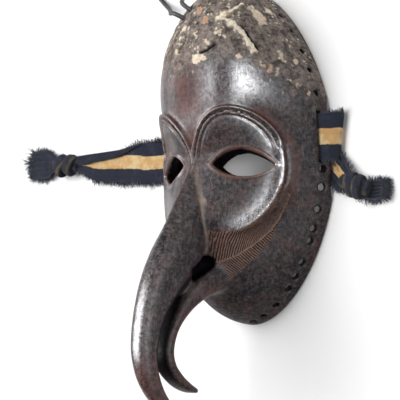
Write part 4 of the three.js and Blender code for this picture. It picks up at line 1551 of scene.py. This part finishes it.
def make_strap(name, cloth, dark_stripe_cloth, threads):
    """One tie strap: the looped band, two layers to the knot, the knot and two frayed ends."""
    side, length, tail, end, knot, seed = STRAPS[name]
    rng = np.random.default_rng(seed)
    under = [((lx + 0.5, ly + 1.2), (hx, hy - 0.4), fold) for (lx, ly), (hx, hy), fold in tail]
    rise = TAIL_HEIGHT["knot"]
    runs = [
        loop_points(side),
        tail_points(tail, TAIL_HEIGHT["upper"], (0, rise), 1),
        tail_points(under, TAIL_HEIGHT["under"], (0, rise), 2),
        tail_points(end, TAIL_HEIGHT["end"], (rise, 0.5), 3, 2.2),
        tail_points(end, TAIL_HEIGHT["under"], (rise, 0.3), 4, 2.6),
    ]
    for _, places, _ in runs[3:]:
        places[:, 0] = STRIPE_EDGE + 1 + 0.5 * np.abs(places[:, 0])
    strap = cloth_piece(f"{name}_cloth", *joined(runs), CLOTH["thickness"], cloth)
    tied = make_knot(f"{name}_knot", knot, dark_stripe_cloth)
    columns = [LOOP_COLUMNS] + [TAIL_COLUMNS] * 4
    frays = strap_frays([(points, n) for (points, _, _), n in zip(runs, columns)], side, rng)
    fringe = thread_piece(f"{name}_fringe", *frays, rng, threads)
    register(strap, name)
    register(tied)
    register(fringe)


# Floor and lights
FLOOR_HALF_SIZE = 6.0
LIGHTS_LOOK_AT = (0, -20, 50)
LIGHTS = [
    {
        "name": "strip", "direction": (0.76, 0.02, 0.53), "distance": 1.2, "size": (0.34, 1.25), "power": 46,
        "colour": (0.95, 0.97, 1.0), "long_way": (-0.3, 0.95, 0.38), "shows": "gloss",
    },
    {
        "name": "gloss", "direction": (-0.6, 0.12, 0.78), "distance": 2.6, "size": (2.0, 1.8), "power": 210,
        "colour": (0.94, 0.97, 1.0), "long_way": (0, 1, 0), "shows": "gloss",
    },
    {
        "name": "window", "direction": (-0.34, 0.2, 0.92), "distance": 2.6, "size": (2.5, 2.5), "power": 98,
        "colour": (1.0, 0.99, 0.97), "long_way": (0, 1, 0), "shows": "shade",
    },
]
ROOM_LIGHT = {"Color": (0.95, 0.97, 1, 1), "Strength": 0.15}


def make_floor():
    corners = [(x * FLOOR_HALF_SIZE, y * FLOOR_HALF_SIZE, 0) for x, y in ((-1, -1), (1, -1), (1, 1), (-1, 1))]
    mesh = bpy.data.meshes.new("floor")
    mesh.from_pydata(corners, [], [(0, 1, 2, 3)])
    mesh.materials.append(Nodes("floor").surface({
        "Base Color": (0.86, 0.86, 0.87),
        "Roughness": 0.9,
        "Emission Color": (1, 1, 1),
        "Emission Strength": 0.08,
    }))
    new_object("floor", mesh)


def area_light(name, direction, distance, size, power, colour, long_way, shows):
    """A soft light that looks at the mask, with its longer side along one direction."""
    data = bpy.data.lights.new(name, "AREA")
    data.shape = "RECTANGLE"
    data.size, data.size_y = size
    data.energy = power
    data.color = colour
    light = new_object(name, data)
    light.visible_diffuse = shows == "shade"
    light.visible_glossy = shows == "gloss"
    back = Vector(direction).normalized()
    across = Vector(long_way).cross(back).normalized()
    light.matrix_world = Matrix((across, back.cross(across), back)).transposed().to_4x4()
    light.location = Vector(in_metres(LIGHTS_LOOK_AT)) + back * distance


def make_lights():
    for light in LIGHTS:
        area_light(**light)
    world = bpy.data.worlds.new("studio")
    world.use_nodes = True
    for name, value in ROOM_LIGHT.items():
        world.node_tree.nodes["Background"].inputs[name].default_value = value
    bpy.context.scene.world = world
    bpy.context.scene.view_settings.view_transform = "Standard"


def main():
    make_camera()
    make_cord(cord_material())
    mask = make_mask()
    mask.data.materials.append(wood_material())
    register(mask, "mask")
    make_floor()
    cloths = cloth_material("striped_cloth"), cloth_material("dark_stripe_cloth"), thread_material()
    for name in STRAPS:
        make_strap(name, *cloths)
    make_lights()


main()
